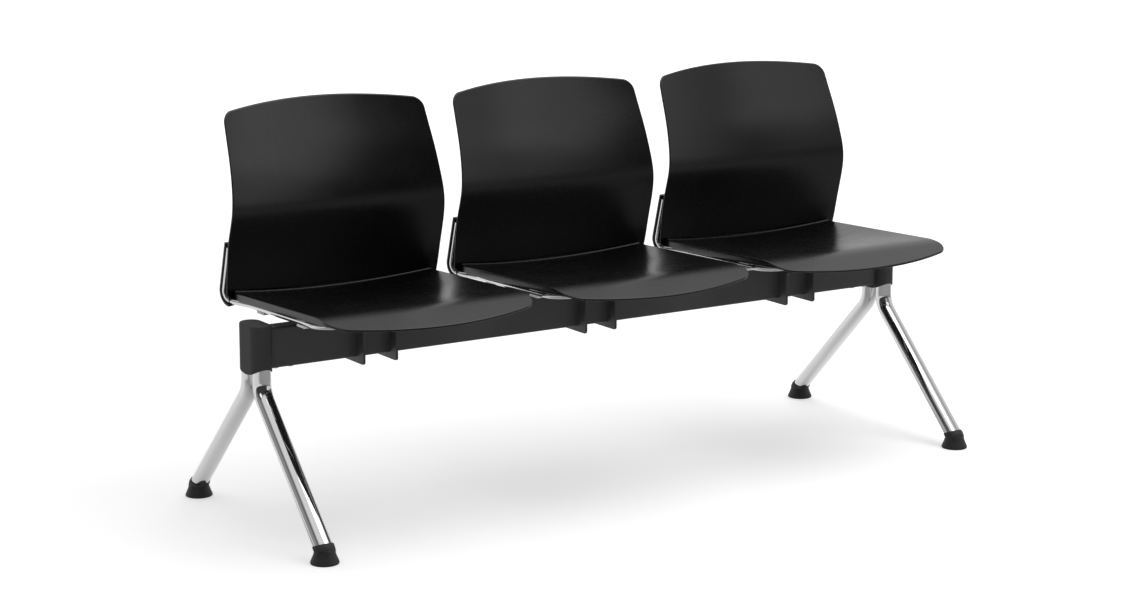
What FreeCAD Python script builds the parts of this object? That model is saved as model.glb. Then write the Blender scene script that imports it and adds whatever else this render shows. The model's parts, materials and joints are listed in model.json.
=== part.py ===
import FreeCAD, Part
import math
import os
from FreeCAD import Vector

# Three-seat beam seating. X runs along the beam, Y runs from front to back, Z is up.
# Sizes are millimetres. Everything is built about the beam's own middle, with the floor at Z = 0,
# and moved along Y at the end, so that the origin lies under the middle of the whole depth.

# Overall layout
seat_count = 3
seat_pitch = 520.0
leg_overhang = 250.0
foot_spread = 273.5
foot_aim_height = 26.0

# Beam, a rectangular steel tube
beam_depth = 40.0
beam_height = 80.0
beam_wall = 2.0
beam_corner = 4.0
beam_rise = 43.5

# Legs, oval steel tubes that leave the cap upright and splay to the feet
leg_width = 38.0
leg_thickness = 30.0
leg_wall = 2.0
leg_top_offset = 24.0
leg_splay = 45.0
leg_bend_radius = 55.0
leg_top_gap = 3.0
leg_fit = 0.3

# Feet, soft plastic boots on the tube ends
foot_diameter = 55.0
foot_rim = 3.0
foot_rim_chamfer = 0.8
foot_cone_height = 27.0
foot_cone_top = 40.0
foot_collar_wall = 2.6
foot_collar_length = 20.0
foot_collar_root = 8.0
foot_floor = 9.0
foot_fit = 0.4

# End caps, sleeves over the two tube tops
cap_wall = 2.0
cap_clearance = 1.3
cap_top_rise = 9.0
cap_top_wall = 3.0
cap_drop = 9.0
cap_bottom_rise = 13.0
cap_edge_round = 3.5
cap_fit = 0.3

# Leg heads, steel spigots in the beam ends with a web between the tube tops
spigot_length = 75.0
spigot_wall = 4.0
spigot_fit = 0.3
web_half_width = 14.0
web_reach = 15.0
web_root = 8.0
web_rise = 11.0
beam_end_margin = 2.0

# Seat brackets, two plates round the beam with a bridge between them
plate_offset = 36.6
plate_thickness = 5.0
plate_front = 45.0
plate_rear = 45.0
plate_drop = 12.5
plate_corner = 6.0
plate_shoulder = 20.0
plate_heel = 15.0
plate_heel_height = 10.0
plate_toe = 10.0
plate_toe_height = 20.0
plate_toe_length = 45.0
bridge_thickness = 5.0
bridge_half_depth = 28.0
window_fit = 0.5

# Seat rods, bent steel rod: upright in the back, run under the seat side, arm to the bracket
rod_diameter = 12.0
rod_fit = 0.4
rod_upright_x = 235.0
rod_top_y = 137.4
rod_top_rise = 134.0
rod_heel_y = 168.0
rod_heel_rise = 25.0
rod_run_x = 214.0
rod_run_rear_y = 95.0
rod_run_rear_rise = 23.5
rod_front_y = -205.0
rod_front_rise = 32.0
rod_heel_bend = 18.0
rod_side_bend = 60.0
rod_front_bend = 45.0
cross_bar_y = 60.0
cross_bar_diameter = 8.0
cross_bar_drop = 4.0
cross_bar_inset = 5.0
cross_bar_fit = 0.3

# Seat shell, a moulded plastic pan
seat_half_width = 226.0
seat_front = 310.0
seat_front_side = 268.0
seat_wall = 4.5
seat_skirt_wall = 3.0
seat_side_rise = 47.2
seat_tilt = 0.036
seat_dish = 15.0
seat_dish_end = -210.0
seat_lip = 3.5
seat_lip_length = 32.0
waterfall_start = -200.0
waterfall_bend = 46.0
waterfall_slope = 0.293
skirt_rise = 30.9
skirt_tilt = 0.0457
seat_rear_corner = 8.0
seat_front_corner = 34.0
seat_back_gap = 2.0
seat_block_depth = 28.0

# Back shell, a moulded plastic panel, hollow in plan, with a channel at each lower side
# The two lists give the depth and the half width of the side edge at heights over the beam
back_wall = 5.0
back_bottom_rise = 24.0
back_side_rise = 395.0
back_crown = 16.0
back_profile = [(1.0, 156.0), (51.0, 143.0), (101.0, 133.5), (151.0, 121.5), (201.0, 112.0)]
back_profile += [(251.0, 119.5), (301.0, 135.5), (351.0, 156.5), (431.0, 189.0)]
back_widths = [(1.0, 236.0), (51.0, 239.5), (101.0, 242.0), (151.0, 243.0), (201.0, 239.5)]
back_widths += [(251.0, 234.7), (301.0, 231.0), (351.0, 227.5), (431.0, 222.5)]
back_hollow_bottom = 22.0
back_hollow_top = 32.0
back_top_corner = 20.0
back_bottom_corner = 14.0
channel_top_rise = 141.0
channel_outer_x = 238.5
channel_rear_wall = 3.2
channel_inner_wall = 3.0

# Clips and fasteners
clip_length = 30.0
clip_inner_reach = 26.0
clip_lower_lip = 3.0
clip_rear_y = 40.0
clip_front_y = -130.0
clip_screw_inset = 19.0
clip_screw_cover = 1.6
clip_fit = 0.3
m5_shank = 5.0
m5_head = 9.5
m5_head_height = 3.0
m8_shank = 8.0
m8_head = 14.0
m8_head_height = 4.4
m8_nut_flats = 13.0
m8_nut_height = 6.8
screw_fit = 0.25
head_round_share = 0.45
drive_radius_share = 0.3
drive_depth_share = 0.5
bracket_screw_x = 15.0
bracket_screw_length = 16.0
end_screw_insets = (20.0, 52.0)
end_screw_length = 10.0
back_screw_rise = 101.0
back_screw_stop = 1.0

# Working values: how far cutters run past what they cut, and how finely surfaces are sampled
past = 2.0
far = 150.0
surface_margin = 12.0
seat_rows = 37
back_rows = 19
surface_columns = 13

# Values that follow from the driving sizes
splay = math.radians(leg_splay)
leg_bend_z = foot_aim_height + (foot_spread - leg_top_offset) / math.tan(splay)
beam_bottom = leg_bend_z + beam_rise
beam_top = beam_bottom + beam_height
half_span = seat_pitch * (seat_count - 1) / 2.0
leg_x = half_span + leg_overhang
leg_half_width = leg_width / 2.0
leg_half_thickness = leg_thickness / 2.0
beam_half_length = leg_x - leg_half_width - beam_end_margin
cap_top = beam_top + cap_top_rise
cap_bottom = beam_bottom - cap_drop
cap_half_straight = leg_top_offset + leg_half_thickness - leg_half_width
cap_radius = leg_half_width + cap_clearance + cap_wall
leg_tube_top = cap_top - cap_top_wall - leg_top_gap
rod_radius = rod_diameter / 2.0
rod_top_z = beam_top + rod_top_rise
rod_heel_z = beam_top + rod_heel_rise
rod_run_rear_z = beam_top + rod_run_rear_rise
rod_front_z = beam_top + rod_front_rise
seat_side_z = beam_top + seat_side_rise
back_bottom = beam_top + back_bottom_rise
back_top_side = beam_top + back_side_rise
foot_radius = foot_diameter / 2.0
rear_reach = foot_spread + foot_radius
beam_y = (seat_front - rear_reach) / 2.0
seat_centres = [seat_pitch * i - half_span for i in range(seat_count)]

os.makedirs("parts", exist_ok=True)
X_AXIS = Vector(1, 0, 0)
Y_AXIS = Vector(0, 1, 0)
Z_AXIS = Vector(0, 0, 1)


def box(x0, x1, y0, y1, z0, z1):
    """A block between two corners."""
    return Part.makeBox(x1 - x0, y1 - y0, z1 - z0, Vector(x0, y0, z0))


def rod_between(start, end, radius):
    """A straight round bar from one point to another."""
    axis = end - start
    return Part.makeCylinder(radius, axis.Length, start, axis)


def curve_through(points):
    """A smooth curve through (height over the beam, value) pairs, read as value at a height Z."""
    spline = Part.BSplineCurve()
    spline.interpolate([Vector(beam_top + height, value, 0) for height, value in points])

    def value_at(z):
        low, high = spline.FirstParameter, spline.LastParameter
        for _ in range(50):
            middle = (low + high) / 2.0
            if spline.value(middle).x < z:
                low = middle
            else:
                high = middle
        return spline.value((low + high) / 2.0).y

    return value_at


back_edge_y = curve_through(back_profile)
back_half_width = curve_through(back_widths)


def save(shape, name):
    """Move the shape to the shared origin, check it and write it."""
    placed = shape.copy()
    placed.translate(Vector(0, beam_y, 0))
    assert placed.isValid(), name
    assert placed.Volume > 0, name
    placed.exportStep("parts/" + name + ".step")
    print(name, len(placed.Solids), "solids", round(placed.Volume), "mm3")


def group(shapes):
    """Several separate solids kept together in one node."""
    return Part.makeCompound(shapes)


def hole_free(shape, tools):
    """Cut a list of tools from a shape and return its one solid."""
    result = shape
    for tool in tools:
        result = result.cut(tool)
    assert len(result.Solids) == 1
    return result.Solids[0]


def edges_along(shape, direction):
    """The straight edges of a shape that run along a direction."""
    found = []
    for edge in shape.Edges:
        run = edge.Vertexes[-1].Point - edge.Vertexes[0].Point
        if run.Length > 1e-6 and abs(abs(run.normalize().dot(direction)) - 1) < 1e-6:
            found.append(edge)
    return found


# Beam
def make_beam(cutters):
    half = beam_depth / 2
    outer = box(-beam_half_length, beam_half_length, -half, half, beam_bottom, beam_top)
    inner = box(-beam_half_length - past, beam_half_length + past, beam_wall - half, half - beam_wall,
                beam_bottom + beam_wall, beam_top - beam_wall)
    outer = outer.makeFillet(beam_corner, edges_along(outer, X_AXIS))
    inner = inner.makeFillet(beam_corner - beam_wall, edges_along(inner, X_AXIS))
    return hole_free(outer.cut(inner), cutters)


# Legs
def ellipse_face(centre, half_x, half_other, normal):
    """An oval face, its long half across X, square to a direction in the YZ plane."""
    curve = Part.Ellipse(Vector(0, 0, 0), half_x, half_other)
    face = Part.Face(Part.Wire([curve.toShape()]))
    turn = FreeCAD.Rotation(Z_AXIS, normal)
    face.Placement = FreeCAD.Placement(centre, turn)
    return face


def leg_direction(side):
    """Down the splayed run: side is -1 in front and 1 behind."""
    return Vector(0, side * math.sin(splay), -math.cos(splay))


def leg_corner(x, side):
    """Where the upright's axis and the splayed run's axis meet."""
    return Vector(x, side * leg_top_offset, leg_bend_z)


def leg_foot_end(x, side):
    """The middle of the tube's lower end, inside the foot."""
    length = (leg_bend_z - foot_floor) / math.cos(splay) - leg_half_thickness
    return leg_corner(x, side) + leg_direction(side) * length


def leg_solid(x, side, grow, overrun):
    """One leg as a solid oval bar: upright, bend and splayed run to the foot's inner floor.
    grow makes the oval larger all round; overrun lengthens the upper end."""
    out = leg_direction(side)
    corner = leg_corner(x, side)
    foot_end = leg_foot_end(x, side)
    top = Vector(x, side * leg_top_offset, leg_tube_top + overrun)
    tangent = leg_bend_radius * math.tan(splay / 2.0)
    bend_start = corner + Z_AXIS * tangent
    bend_end = corner + out * tangent
    half_x = leg_half_width + grow
    half_y = leg_half_thickness + grow
    upright = ellipse_face(bend_start, half_x, half_y, Z_AXIS).extrude(top - bend_start)
    centre = Vector(x, side * (leg_top_offset + leg_bend_radius), bend_start.z)
    bend = ellipse_face(bend_start, half_x, half_y, Z_AXIS).revolve(centre, X_AXIS * side, leg_splay)
    run = ellipse_face(bend_end, half_x, half_y, out).extrude(foot_end - bend_end)
    return upright.fuse([bend, run]).removeSplitter().Solids[0]


def make_leg(x, side):
    """The tube: the bar less a smaller bar that runs out of its top, with the lower end opened."""
    bore_bar = leg_solid(x, side, -leg_wall, past)
    out = leg_direction(side)
    start = leg_foot_end(x, side) - out * past
    plug = ellipse_face(start, leg_half_width - leg_wall, leg_half_thickness - leg_wall, out)
    return hole_free(leg_solid(x, side, 0.0, 0.0), [bore_bar, plug.extrude(out * 2 * past)])


# Feet
def make_foot(x, side):
    """A round boot: rim, cone and a short oval collar along the leg, with the tube's socket."""
    centre = Vector(x, side * foot_spread, 0)
    rim = Part.makeCylinder(foot_radius, foot_rim, centre)
    floor_edge = [edge for edge in rim.Edges if edge.BoundBox.ZMax < 1e-3]
    rim = rim.makeChamfer(foot_rim_chamfer, floor_edge)
    cone = Part.makeCone(foot_radius, foot_cone_top / 2, foot_cone_height, centre + Z_AXIS * foot_rim)
    out = leg_direction(side)
    foot_end = leg_foot_end(x, side)
    half_x = leg_half_width + foot_fit
    half_y = leg_half_thickness + foot_fit
    collar = ellipse_face(foot_end + out * foot_collar_root, half_x + foot_collar_wall,
                          half_y + foot_collar_wall, out)
    collar = collar.extrude(out * -(foot_collar_length + foot_collar_root))
    above_floor = box(x - far, x + far, centre.y - far, centre.y + far, 0, far)
    socket = ellipse_face(foot_end, half_x, half_y, out).extrude(out * -far)
    return hole_free(rim.fuse([cone, collar.common(above_floor)]), [socket])


# End caps
def stadium(x, radius, half_straight, z0, z1):
    """An upright block with round ends in front and behind, flat at its two sides."""
    front = Part.makeCylinder(radius, z1 - z0, Vector(x, -half_straight, z0))
    rear = Part.makeCylinder(radius, z1 - z0, Vector(x, half_straight, z0))
    middle = box(x - radius, x + radius, -half_straight, half_straight, z0, z1)
    return front.fuse([rear, middle]).removeSplitter().Solids[0]


def make_cap(end):
    """A sleeve over both tube tops, open below and towards the beam: end is -1 left and 1 right."""
    x = end * leg_x
    reach = cap_radius + cap_half_straight
    outer = stadium(x, cap_radius, cap_half_straight, cap_bottom, cap_top)
    top_edges = [edge for edge in outer.Edges if edge.BoundBox.ZMin > cap_top - 1e-3]
    outer = outer.makeFillet(cap_edge_round, top_edges)
    inner = stadium(x, cap_radius - cap_wall, cap_half_straight, cap_bottom - past, cap_top - cap_top_wall)
    x0, x1 = sorted((x, x - end * far))
    half = beam_depth / 2 + cap_fit
    window = box(x0, x1, -half, half, beam_bottom - far, beam_top + cap_fit)
    sweep = (reach * reach + cap_bottom_rise * cap_bottom_rise) / (2 * cap_bottom_rise)
    round_part = Part.makeCylinder(sweep, 2 * far, Vector(x - far, 0, cap_bottom + sweep), X_AXIS)
    lower = box(x - cap_radius - past, x + cap_radius + past, -reach - past, reach + past,
                cap_bottom - past, cap_bottom + cap_bottom_rise)
    return hole_free(outer, [inner, window, lower.cut(round_part)])


# Leg heads
def make_leg_head(end, cutters):
    """A hollow spigot inside the beam's end and a web between the two tube tops."""
    x_end = end * beam_half_length
    half_y = beam_depth / 2 - beam_wall - spigot_fit
    z0 = beam_bottom + beam_wall + spigot_fit
    z1 = beam_top - beam_wall - spigot_fit
    x0, x1 = sorted((x_end, x_end - end * spigot_length))
    spigot = box(x0, x1, -half_y, half_y, z0, z1)
    spigot = spigot.makeFillet(beam_corner - beam_wall, edges_along(spigot, X_AXIS))
    hollow = box(x0 - past, x1 + past, spigot_wall - half_y, half_y - spigot_wall,
                 z0 + spigot_wall, z1 - spigot_wall)
    web_end = end * (leg_x + web_reach)
    web_bottom = beam_bottom + web_rise
    x0, x1 = sorted((x_end - end * web_root, web_end))
    web_inside = box(x0, x1, -web_half_width, web_half_width, web_bottom, z1)
    x0, x1 = sorted((end * (leg_x - cap_radius + cap_wall + cap_fit), web_end))
    web_top = box(x0, x1, -web_half_width, web_half_width, web_bottom, cap_top - cap_top_wall - cap_fit)
    head = spigot.cut(hollow).fuse([web_inside, web_top]).removeSplitter()
    tubes = [leg_solid(end * leg_x, side, leg_fit, past) for side in (-1, 1)]
    return hole_free(head, tubes + cutters)


# Seat rods
def rounded_path(points, radii):
    """A wire of straight runs joined by tangent arcs at the inner points."""
    edges = []
    here = points[0]
    for i in range(1, len(points) - 1):
        into = (points[i] - points[i - 1]).normalize()
        away = (points[i + 1] - points[i]).normalize()
        turn = into.getAngle(away)
        back_off = radii[i - 1] * math.tan(turn / 2.0)
        start = points[i] - into * back_off
        end = points[i] + away * back_off
        to_centre = (away - into).normalize()
        middle = points[i] + to_centre * (radii[i - 1] / math.cos(turn / 2.0) - radii[i - 1])
        edges.append(Part.LineSegment(here, start).toShape())
        edges.append(Part.Arc(start, middle, end).toShape())
        here = end
    edges.append(Part.LineSegment(here, points[-1]).toShape())
    return Part.Wire(edges)


def seat_rod_solid(centre_x, side, radius, overrun):
    """The bent rod of one side: side is -1 left and 1 right; overrun lengthens its upper end."""
    top = Vector(centre_x + side * rod_upright_x, rod_top_y, rod_top_z)
    heel = Vector(centre_x + side * rod_upright_x, rod_heel_y, rod_heel_z)
    rear = Vector(centre_x + side * rod_run_x, rod_run_rear_y, rod_run_rear_z)
    front = Vector(centre_x + side * rod_run_x, rod_front_y, rod_front_z)
    arm_x = plate_offset + plate_thickness / 2.0
    arm = Vector(centre_x + side * arm_x, rod_front_y, rod_front_z)
    top = top + (top - heel).normalize() * overrun
    path = rounded_path([top, heel, rear, front, arm], [rod_heel_bend, rod_side_bend, rod_front_bend])
    circle = Part.Wire([Part.Circle(top, heel - top, radius).toShape()])
    solid = path.makePipeShell([circle], True, False)
    assert abs(solid.Volume - math.pi * radius * radius * path.Length) < 0.01 * solid.Volume
    return solid


def run_z(y):
    """Height of the rod's side run at a depth."""
    share = (rod_run_rear_y - y) / (rod_run_rear_y - rod_front_y)
    return rod_run_rear_z + share * (rod_front_z - rod_run_rear_z)


def cross_bar_z():
    """The cross bar lies a little lower than both side runs and between them."""
    return run_z(cross_bar_y) - cross_bar_drop


def make_cross_bar(centre_x, grow):
    z = cross_bar_z()
    reach = rod_run_x - cross_bar_inset
    start = Vector(centre_x - reach, cross_bar_y, z)
    end = Vector(centre_x + reach, cross_bar_y, z)
    return rod_between(start, end, cross_bar_diameter / 2.0 + grow)


# Brackets
def bracket_outline():
    """Side view of a bracket plate: a body round the beam, a heel under the cross bar behind,
    and a toe up to the rod's front arm."""
    low = beam_bottom - plate_drop
    bridge_top = beam_top + bridge_thickness
    heel_y = cross_bar_y + plate_heel
    heel_top = cross_bar_z() - cross_bar_diameter / 2.0 - cross_bar_fit
    toe_y = rod_front_y - plate_toe
    toe_top = rod_front_z + rod_radius
    return [
        (-plate_front, low),
        (plate_rear, low),
        (plate_rear, beam_top - plate_shoulder),
        (heel_y, heel_top - plate_heel_height),
        (heel_y, heel_top),
        (bridge_half_depth + bridge_thickness, bridge_top),
        (-bridge_half_depth, bridge_top),
        (toe_y + plate_toe_length, toe_top),
        (toe_y, toe_top),
        (toe_y, toe_top - plate_toe_height),
        (-plate_front, beam_top - plate_shoulder),
    ]


def make_bracket(centre_x, cutters):
    """Two plates that straddle the beam and a bridge that lies on top of it."""
    low = beam_bottom - plate_drop
    plates = []
    for side in (-1, 1):
        x0 = centre_x + side * plate_offset - plate_thickness / 2
        points = [Vector(x0, y, z) for y, z in bracket_outline()]
        plate = Part.Face(Part.makePolygon(points + [points[0]])).extrude(X_AXIS * plate_thickness)
        corners = [edge for edge in edges_along(plate, X_AXIS) if edge.BoundBox.ZMax < low + 1e-3]
        plates.append(plate.makeFillet(plate_corner, corners))
    inner_x = plate_offset - plate_thickness / 2
    bridge = box(centre_x - inner_x, centre_x + inner_x, -bridge_half_depth, bridge_half_depth,
                 beam_top, beam_top + bridge_thickness)
    half = beam_depth / 2 + window_fit
    window = box(centre_x - far, centre_x + far, -half, half, beam_bottom - window_fit, beam_top)
    body = plates[0].fuse([plates[1], bridge]).removeSplitter()
    return hole_free(body, [window] + cutters)


# Moulded surfaces
def smooth_surface(grid):
    surface = Part.BSplineSurface()
    surface.interpolate(grid)
    return surface


def slab_between(upper_grid, lower_grid):
    """A closed solid between two smooth surfaces on like grids."""
    upper = smooth_surface(upper_grid).toShape()
    lower = smooth_surface(lower_grid).toShape()
    sides = []
    for a, b in zip(upper.Edges, lower.Edges):
        sides.append(Part.makeRuledSurface(a, b))
    shell = Part.makeShell([upper, lower] + sides)
    shell.sewShape()
    solid = Part.makeSolid(Part.Shell(shell.Faces))
    if solid.Volume < 0:
        solid.reverse()
    return solid


def rise_share(value, start, end):
    """Nought before the start, one after the end, with a smooth rise between."""
    share = min(max((value - start) / (end - start), 0.0), 1.0)
    return share * share * (3 - 2 * share)


def hollow_at(z):
    """How far the middle of the back lies behind its side edges."""
    share = (z - back_bottom) / (back_top_side - back_bottom)
    return back_hollow_bottom + share * (back_hollow_top - back_hollow_bottom)


def seat_rear_y(x):
    """Rear edge of the seat in plan: it keeps a gap to the hollow face of the back."""
    level = seat_side_z - seat_tilt * back_edge_y(seat_side_z)
    spread = 1 - (x / back_half_width(level)) ** 2
    return back_edge_y(level) - seat_back_gap + hollow_at(level) * spread


def seat_height(x, y):
    """Height of the seat's upper face: a tilted plane, less a dish that fades to the front,
    less a fall at the front that bends and then runs straight, with a small lip along the rear edge."""
    dish = seat_dish * rise_share(y, seat_dish_end, 0.0) * max(0.0, 1 - (x / seat_half_width) ** 2)
    ahead = max(0.0, waterfall_start - y)
    bent = min(ahead, waterfall_bend)
    fall = waterfall_slope * (bent * bent / (2 * waterfall_bend) + ahead - bent)
    rear = seat_rear_y(x)
    lip = seat_lip * rise_share(y, rear - seat_lip_length, rear)
    return seat_side_z - seat_tilt * y - dish - fall + lip


def seat_grid(centre_x, drop):
    """Points of the seat's upper face, lowered by a drop and run past all its edges."""
    front = -seat_front - surface_margin
    length = seat_rear_y(0) + surface_margin - front
    half = seat_half_width + surface_margin
    grid = []
    for i in range(surface_columns):
        x = half * (2.0 * i / (surface_columns - 1) - 1)
        depths = [front + length * j / (seat_rows - 1) for j in range(seat_rows)]
        grid.append([Vector(centre_x + x, y, seat_height(x, y) - drop) for y in depths])
    return grid


def seat_slab(centre_x, upper_drop, lower_drop):
    return slab_between(seat_grid(centre_x, upper_drop), seat_grid(centre_x, lower_drop))


def seat_outline(centre_x, inset, front_extra):
    """Plan of the seat as an upright prism. inset moves the sides and the rear inwards,
    front_extra moves the front edge outwards."""
    half = seat_half_width - inset
    side_front = -seat_front_side - front_extra
    floor = beam_top - far
    front_left = Vector(centre_x - half, side_front, floor)
    front_right = Vector(centre_x + half, side_front, floor)
    rear_left = Vector(centre_x - half, seat_rear_y(half) - inset, floor)
    rear_right = Vector(centre_x + half, seat_rear_y(half) - inset, floor)
    front_middle = Vector(centre_x, -seat_front - front_extra, floor)
    rear_middle = Vector(centre_x, seat_rear_y(0) - inset, floor)
    wire = Part.Wire([
        Part.Arc(front_left, front_middle, front_right).toShape(),
        Part.LineSegment(front_right, rear_right).toShape(),
        Part.Arc(rear_right, rear_middle, rear_left).toShape(),
        Part.LineSegment(rear_left, front_left).toShape(),
    ])
    prism = Part.Face(wire).extrude(Z_AXIS * 2 * far)
    rear = [edge for edge in edges_along(prism, Z_AXIS) if edge.BoundBox.YMin > 0]
    prism = prism.makeFillet(seat_rear_corner - inset, rear)
    front = [edge for edge in edges_along(prism, Z_AXIS) if edge.BoundBox.YMin < side_front + 1e-3]
    return prism.makeFillet(seat_front_corner - inset, front)


def make_seat_shell(centre_x, cutters):
    """A thin pan with a skirt at its sides and rear, trimmed along a tilted plane,
    and open under its front edge."""
    block = seat_slab(centre_x, 0, seat_block_depth).common(seat_outline(centre_x, 0, 0))
    inside = seat_slab(centre_x, seat_wall, far).common(seat_outline(centre_x, seat_skirt_wall, far))
    left = centre_x - seat_half_width - past
    skirt_mid_z = beam_top + skirt_rise
    reach = 2 * far
    points = [Vector(left, y, skirt_mid_z - skirt_tilt * y) for y in (-2 * reach, reach)]
    points += [Vector(left, reach, beam_top - far), Vector(left, -2 * reach, beam_top - far)]
    below = Part.Face(Part.makePolygon(points + [points[0]]))
    below = below.extrude(X_AXIS * 2 * (seat_half_width + past))
    trim = seat_slab(centre_x, seat_wall, far).common(below)
    return hole_free(block, [inside, trim] + cutters)


def back_grid(centre_x, offset):
    """Points of the back's front face, moved rearwards by an offset and run past all its edges."""
    low = back_bottom - surface_margin
    height = back_top_side + back_crown + surface_margin - low
    grid = []
    for i in range(surface_columns):
        across = 2.0 * i / (surface_columns - 1) - 1
        line = []
        for j in range(back_rows):
            z = low + height * j / (back_rows - 1)
            half = back_half_width(z) + surface_margin
            hollow = hollow_at(z) * (1 - (across * half / back_half_width(z)) ** 2)
            line.append(Vector(centre_x + across * half, back_edge_y(z) + hollow + offset, z))
        grid.append(line)
    return grid


def back_outline(centre_x):
    """Front view of the back as a prism along Y."""
    steps = back_rows // 2
    heights = [back_bottom + (back_top_side - back_bottom) * k / (steps - 1) for k in range(steps)]
    right = Part.BSplineCurve()
    right.interpolate([Vector(centre_x + back_half_width(z), 0, z) for z in heights])
    left = Part.BSplineCurve()
    left.interpolate([Vector(centre_x - back_half_width(z), 0, z) for z in reversed(heights)])
    top_half = back_half_width(back_top_side)
    low_half = back_half_width(back_bottom)
    top = Part.Arc(Vector(centre_x + top_half, 0, back_top_side),
                   Vector(centre_x, 0, back_top_side + back_crown),
                   Vector(centre_x - top_half, 0, back_top_side))
    low = Part.LineSegment(Vector(centre_x - low_half, 0, back_bottom),
                           Vector(centre_x + low_half, 0, back_bottom))
    wire = Part.Wire([low.toShape(), right.toShape(), top.toShape(), left.toShape()])
    prism = Part.Face(wire).extrude(Y_AXIS * 2 * far)
    low_edges = [edge for edge in edges_along(prism, Y_AXIS) if edge.BoundBox.ZMax < back_bottom + 1]
    prism = prism.makeFillet(back_bottom_corner, low_edges)
    high_edges = [edge for edge in edges_along(prism, Y_AXIS) if edge.BoundBox.ZMin > back_top_side - 1]
    return prism.makeFillet(back_top_corner, high_edges)


def upright_frame():
    """Direction up the rod's upright and the direction square to it, to the rear."""
    along = Vector(0, rod_top_y - rod_heel_y, rod_top_z - rod_heel_z).normalize()
    rear = Vector(0, along.z, -along.y)
    return along, rear


def make_back_shell(centre_x, cutters):
    """A thin panel with a box at each lower side, slotted from outside and below for the rod."""
    outline = back_outline(centre_x)
    front_grid = back_grid(centre_x, 0)
    panel = slab_between(front_grid, back_grid(centre_x, back_wall)).common(outline)
    behind = slab_between(front_grid, back_grid(centre_x, far)).common(outline)
    along, rear = upright_frame()
    turn = FreeCAD.Rotation(X_AXIS, math.degrees(math.atan2(-along.y, along.z)))
    heel = Vector(0, rod_heel_y, rod_heel_z)
    slot_half = rod_radius + rod_fit
    inner_x = rod_upright_x - slot_half - channel_inner_wall
    below = 2 * rod_heel_bend
    length = (beam_top + channel_top_rise - rod_heel_z) / along.z + below
    channels = []
    slots = []
    for side in (-1, 1):
        x0, x1 = sorted((side * inner_x, side * channel_outer_x))
        block = Part.makeBox(x1 - x0, far / 2 + slot_half + channel_rear_wall, length)
        start = Vector(centre_x + x0, 0, 0) + heel - rear * (far / 2) - along * below
        block.Placement = FreeCAD.Placement(start, turn)
        channels.append(block.common(behind))
        x0, x1 = sorted((side * rod_upright_x, side * (rod_upright_x + far)))
        slot = Part.makeBox(x1 - x0, 2 * slot_half, length - channel_inner_wall)
        start = Vector(centre_x + x0, 0, 0) + heel - rear * slot_half - along * below
        slot.Placement = FreeCAD.Placement(start, turn)
        slots.append(slot)
    body = panel.fuse(channels)
    return hole_free(body, slots + cutters)


# Fasteners
def pan_screw(head_base, direction, shank_diameter, head_diameter, head_height, length):
    """A screw: direction points from the head towards the tip."""
    head_top = head_base - direction * head_height
    shank = Part.makeCylinder(shank_diameter / 2, length, head_base, direction)
    head = Part.makeCylinder(head_diameter / 2, head_height, head_top, direction)
    rim = [edge for edge in head.Edges if isinstance(edge.Curve, Part.Circle)
           and (edge.Curve.Center - head_top).Length < 1e-3]
    head = head.makeFillet(head_height * head_round_share, rim)
    drive = Part.makeCylinder(shank_diameter * drive_radius_share, head_height * drive_depth_share,
                              head_top, direction)
    return head.fuse(shank).cut(drive).removeSplitter().Solids[0]


def hex_nut(centre, flats, height, bore_diameter):
    """A nut that hangs down from the middle of its upper face."""
    radius = flats / math.sqrt(3)
    corners = [math.radians(60 * k) for k in range(7)]
    points = [centre + Vector(radius * math.cos(a), radius * math.sin(a), 0) for a in corners]
    body = Part.Face(Part.makePolygon(points)).extrude(Z_AXIS * -height)
    return body.cut(bore(centre, Z_AXIS * -1, bore_diameter, height))


def bore(place, direction, diameter, length):
    """A cutter for a hole that runs past both its ends."""
    return Part.makeCylinder(diameter / 2, length + 2 * past, place - direction * past, direction)


def bracket_screw_places():
    return [Vector(x + side * bracket_screw_x, 0, beam_top + bridge_thickness)
            for x in seat_centres for side in (-1, 1)]


def end_screw_places(end):
    return [Vector(end * (beam_half_length - inset), 0, beam_bottom) for inset in end_screw_insets]


def clip_places():
    return [(side, y) for side in (-1, 1) for y in (clip_rear_y, clip_front_y)]


def clip_low(y):
    """Height of a clip's underside, where its screw head sits."""
    return run_z(y) - rod_radius - clip_lower_lip


def clip_screw_at(centre_x, side, y):
    """Place of a clip screw's head and its length up into the seat."""
    x = side * (rod_run_x - clip_screw_inset)
    length = seat_height(x, y) - clip_screw_cover - clip_low(y)
    return Vector(centre_x + x, y, clip_low(y)), length


def make_clip(centre_x, side, y, cutters):
    """A block under the seat that closes round the rod's side run."""
    x0, x1 = sorted((side * (rod_run_x - clip_inner_reach), side * (rod_run_x + rod_radius - 1)))
    block = box(centre_x + x0, centre_x + x1, y - clip_length / 2, y + clip_length / 2,
                clip_low(y), seat_side_z + far)
    under = seat_slab(centre_x, seat_wall + clip_fit, far)
    return hole_free(block.common(under), cutters)


def back_screw(centre_x, side):
    """Head place, direction and length of a screw through the channel's rear wall into the rod."""
    rear = upright_frame()[1]
    z = beam_top + back_screw_rise
    share = (z - rod_heel_z) / (rod_top_z - rod_heel_z)
    y = rod_heel_y + share * (rod_top_y - rod_heel_y)
    length = rod_radius + rod_fit + channel_rear_wall
    head_base = Vector(centre_x + side * rod_upright_x, y, z) + rear * length
    return head_base, rear * -1, length


# Assembly
m5_hole = m5_shank + 2 * screw_fit
m8_hole = m8_shank + 2 * screw_fit
bracket_holes = [bore(place, Z_AXIS * -1, m8_hole, bracket_screw_length) for place in bracket_screw_places()]
end_holes = {}
for end in (-1, 1):
    end_holes[end] = [bore(place, Z_AXIS, m8_hole, end_screw_length) for place in end_screw_places(end)]

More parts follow.
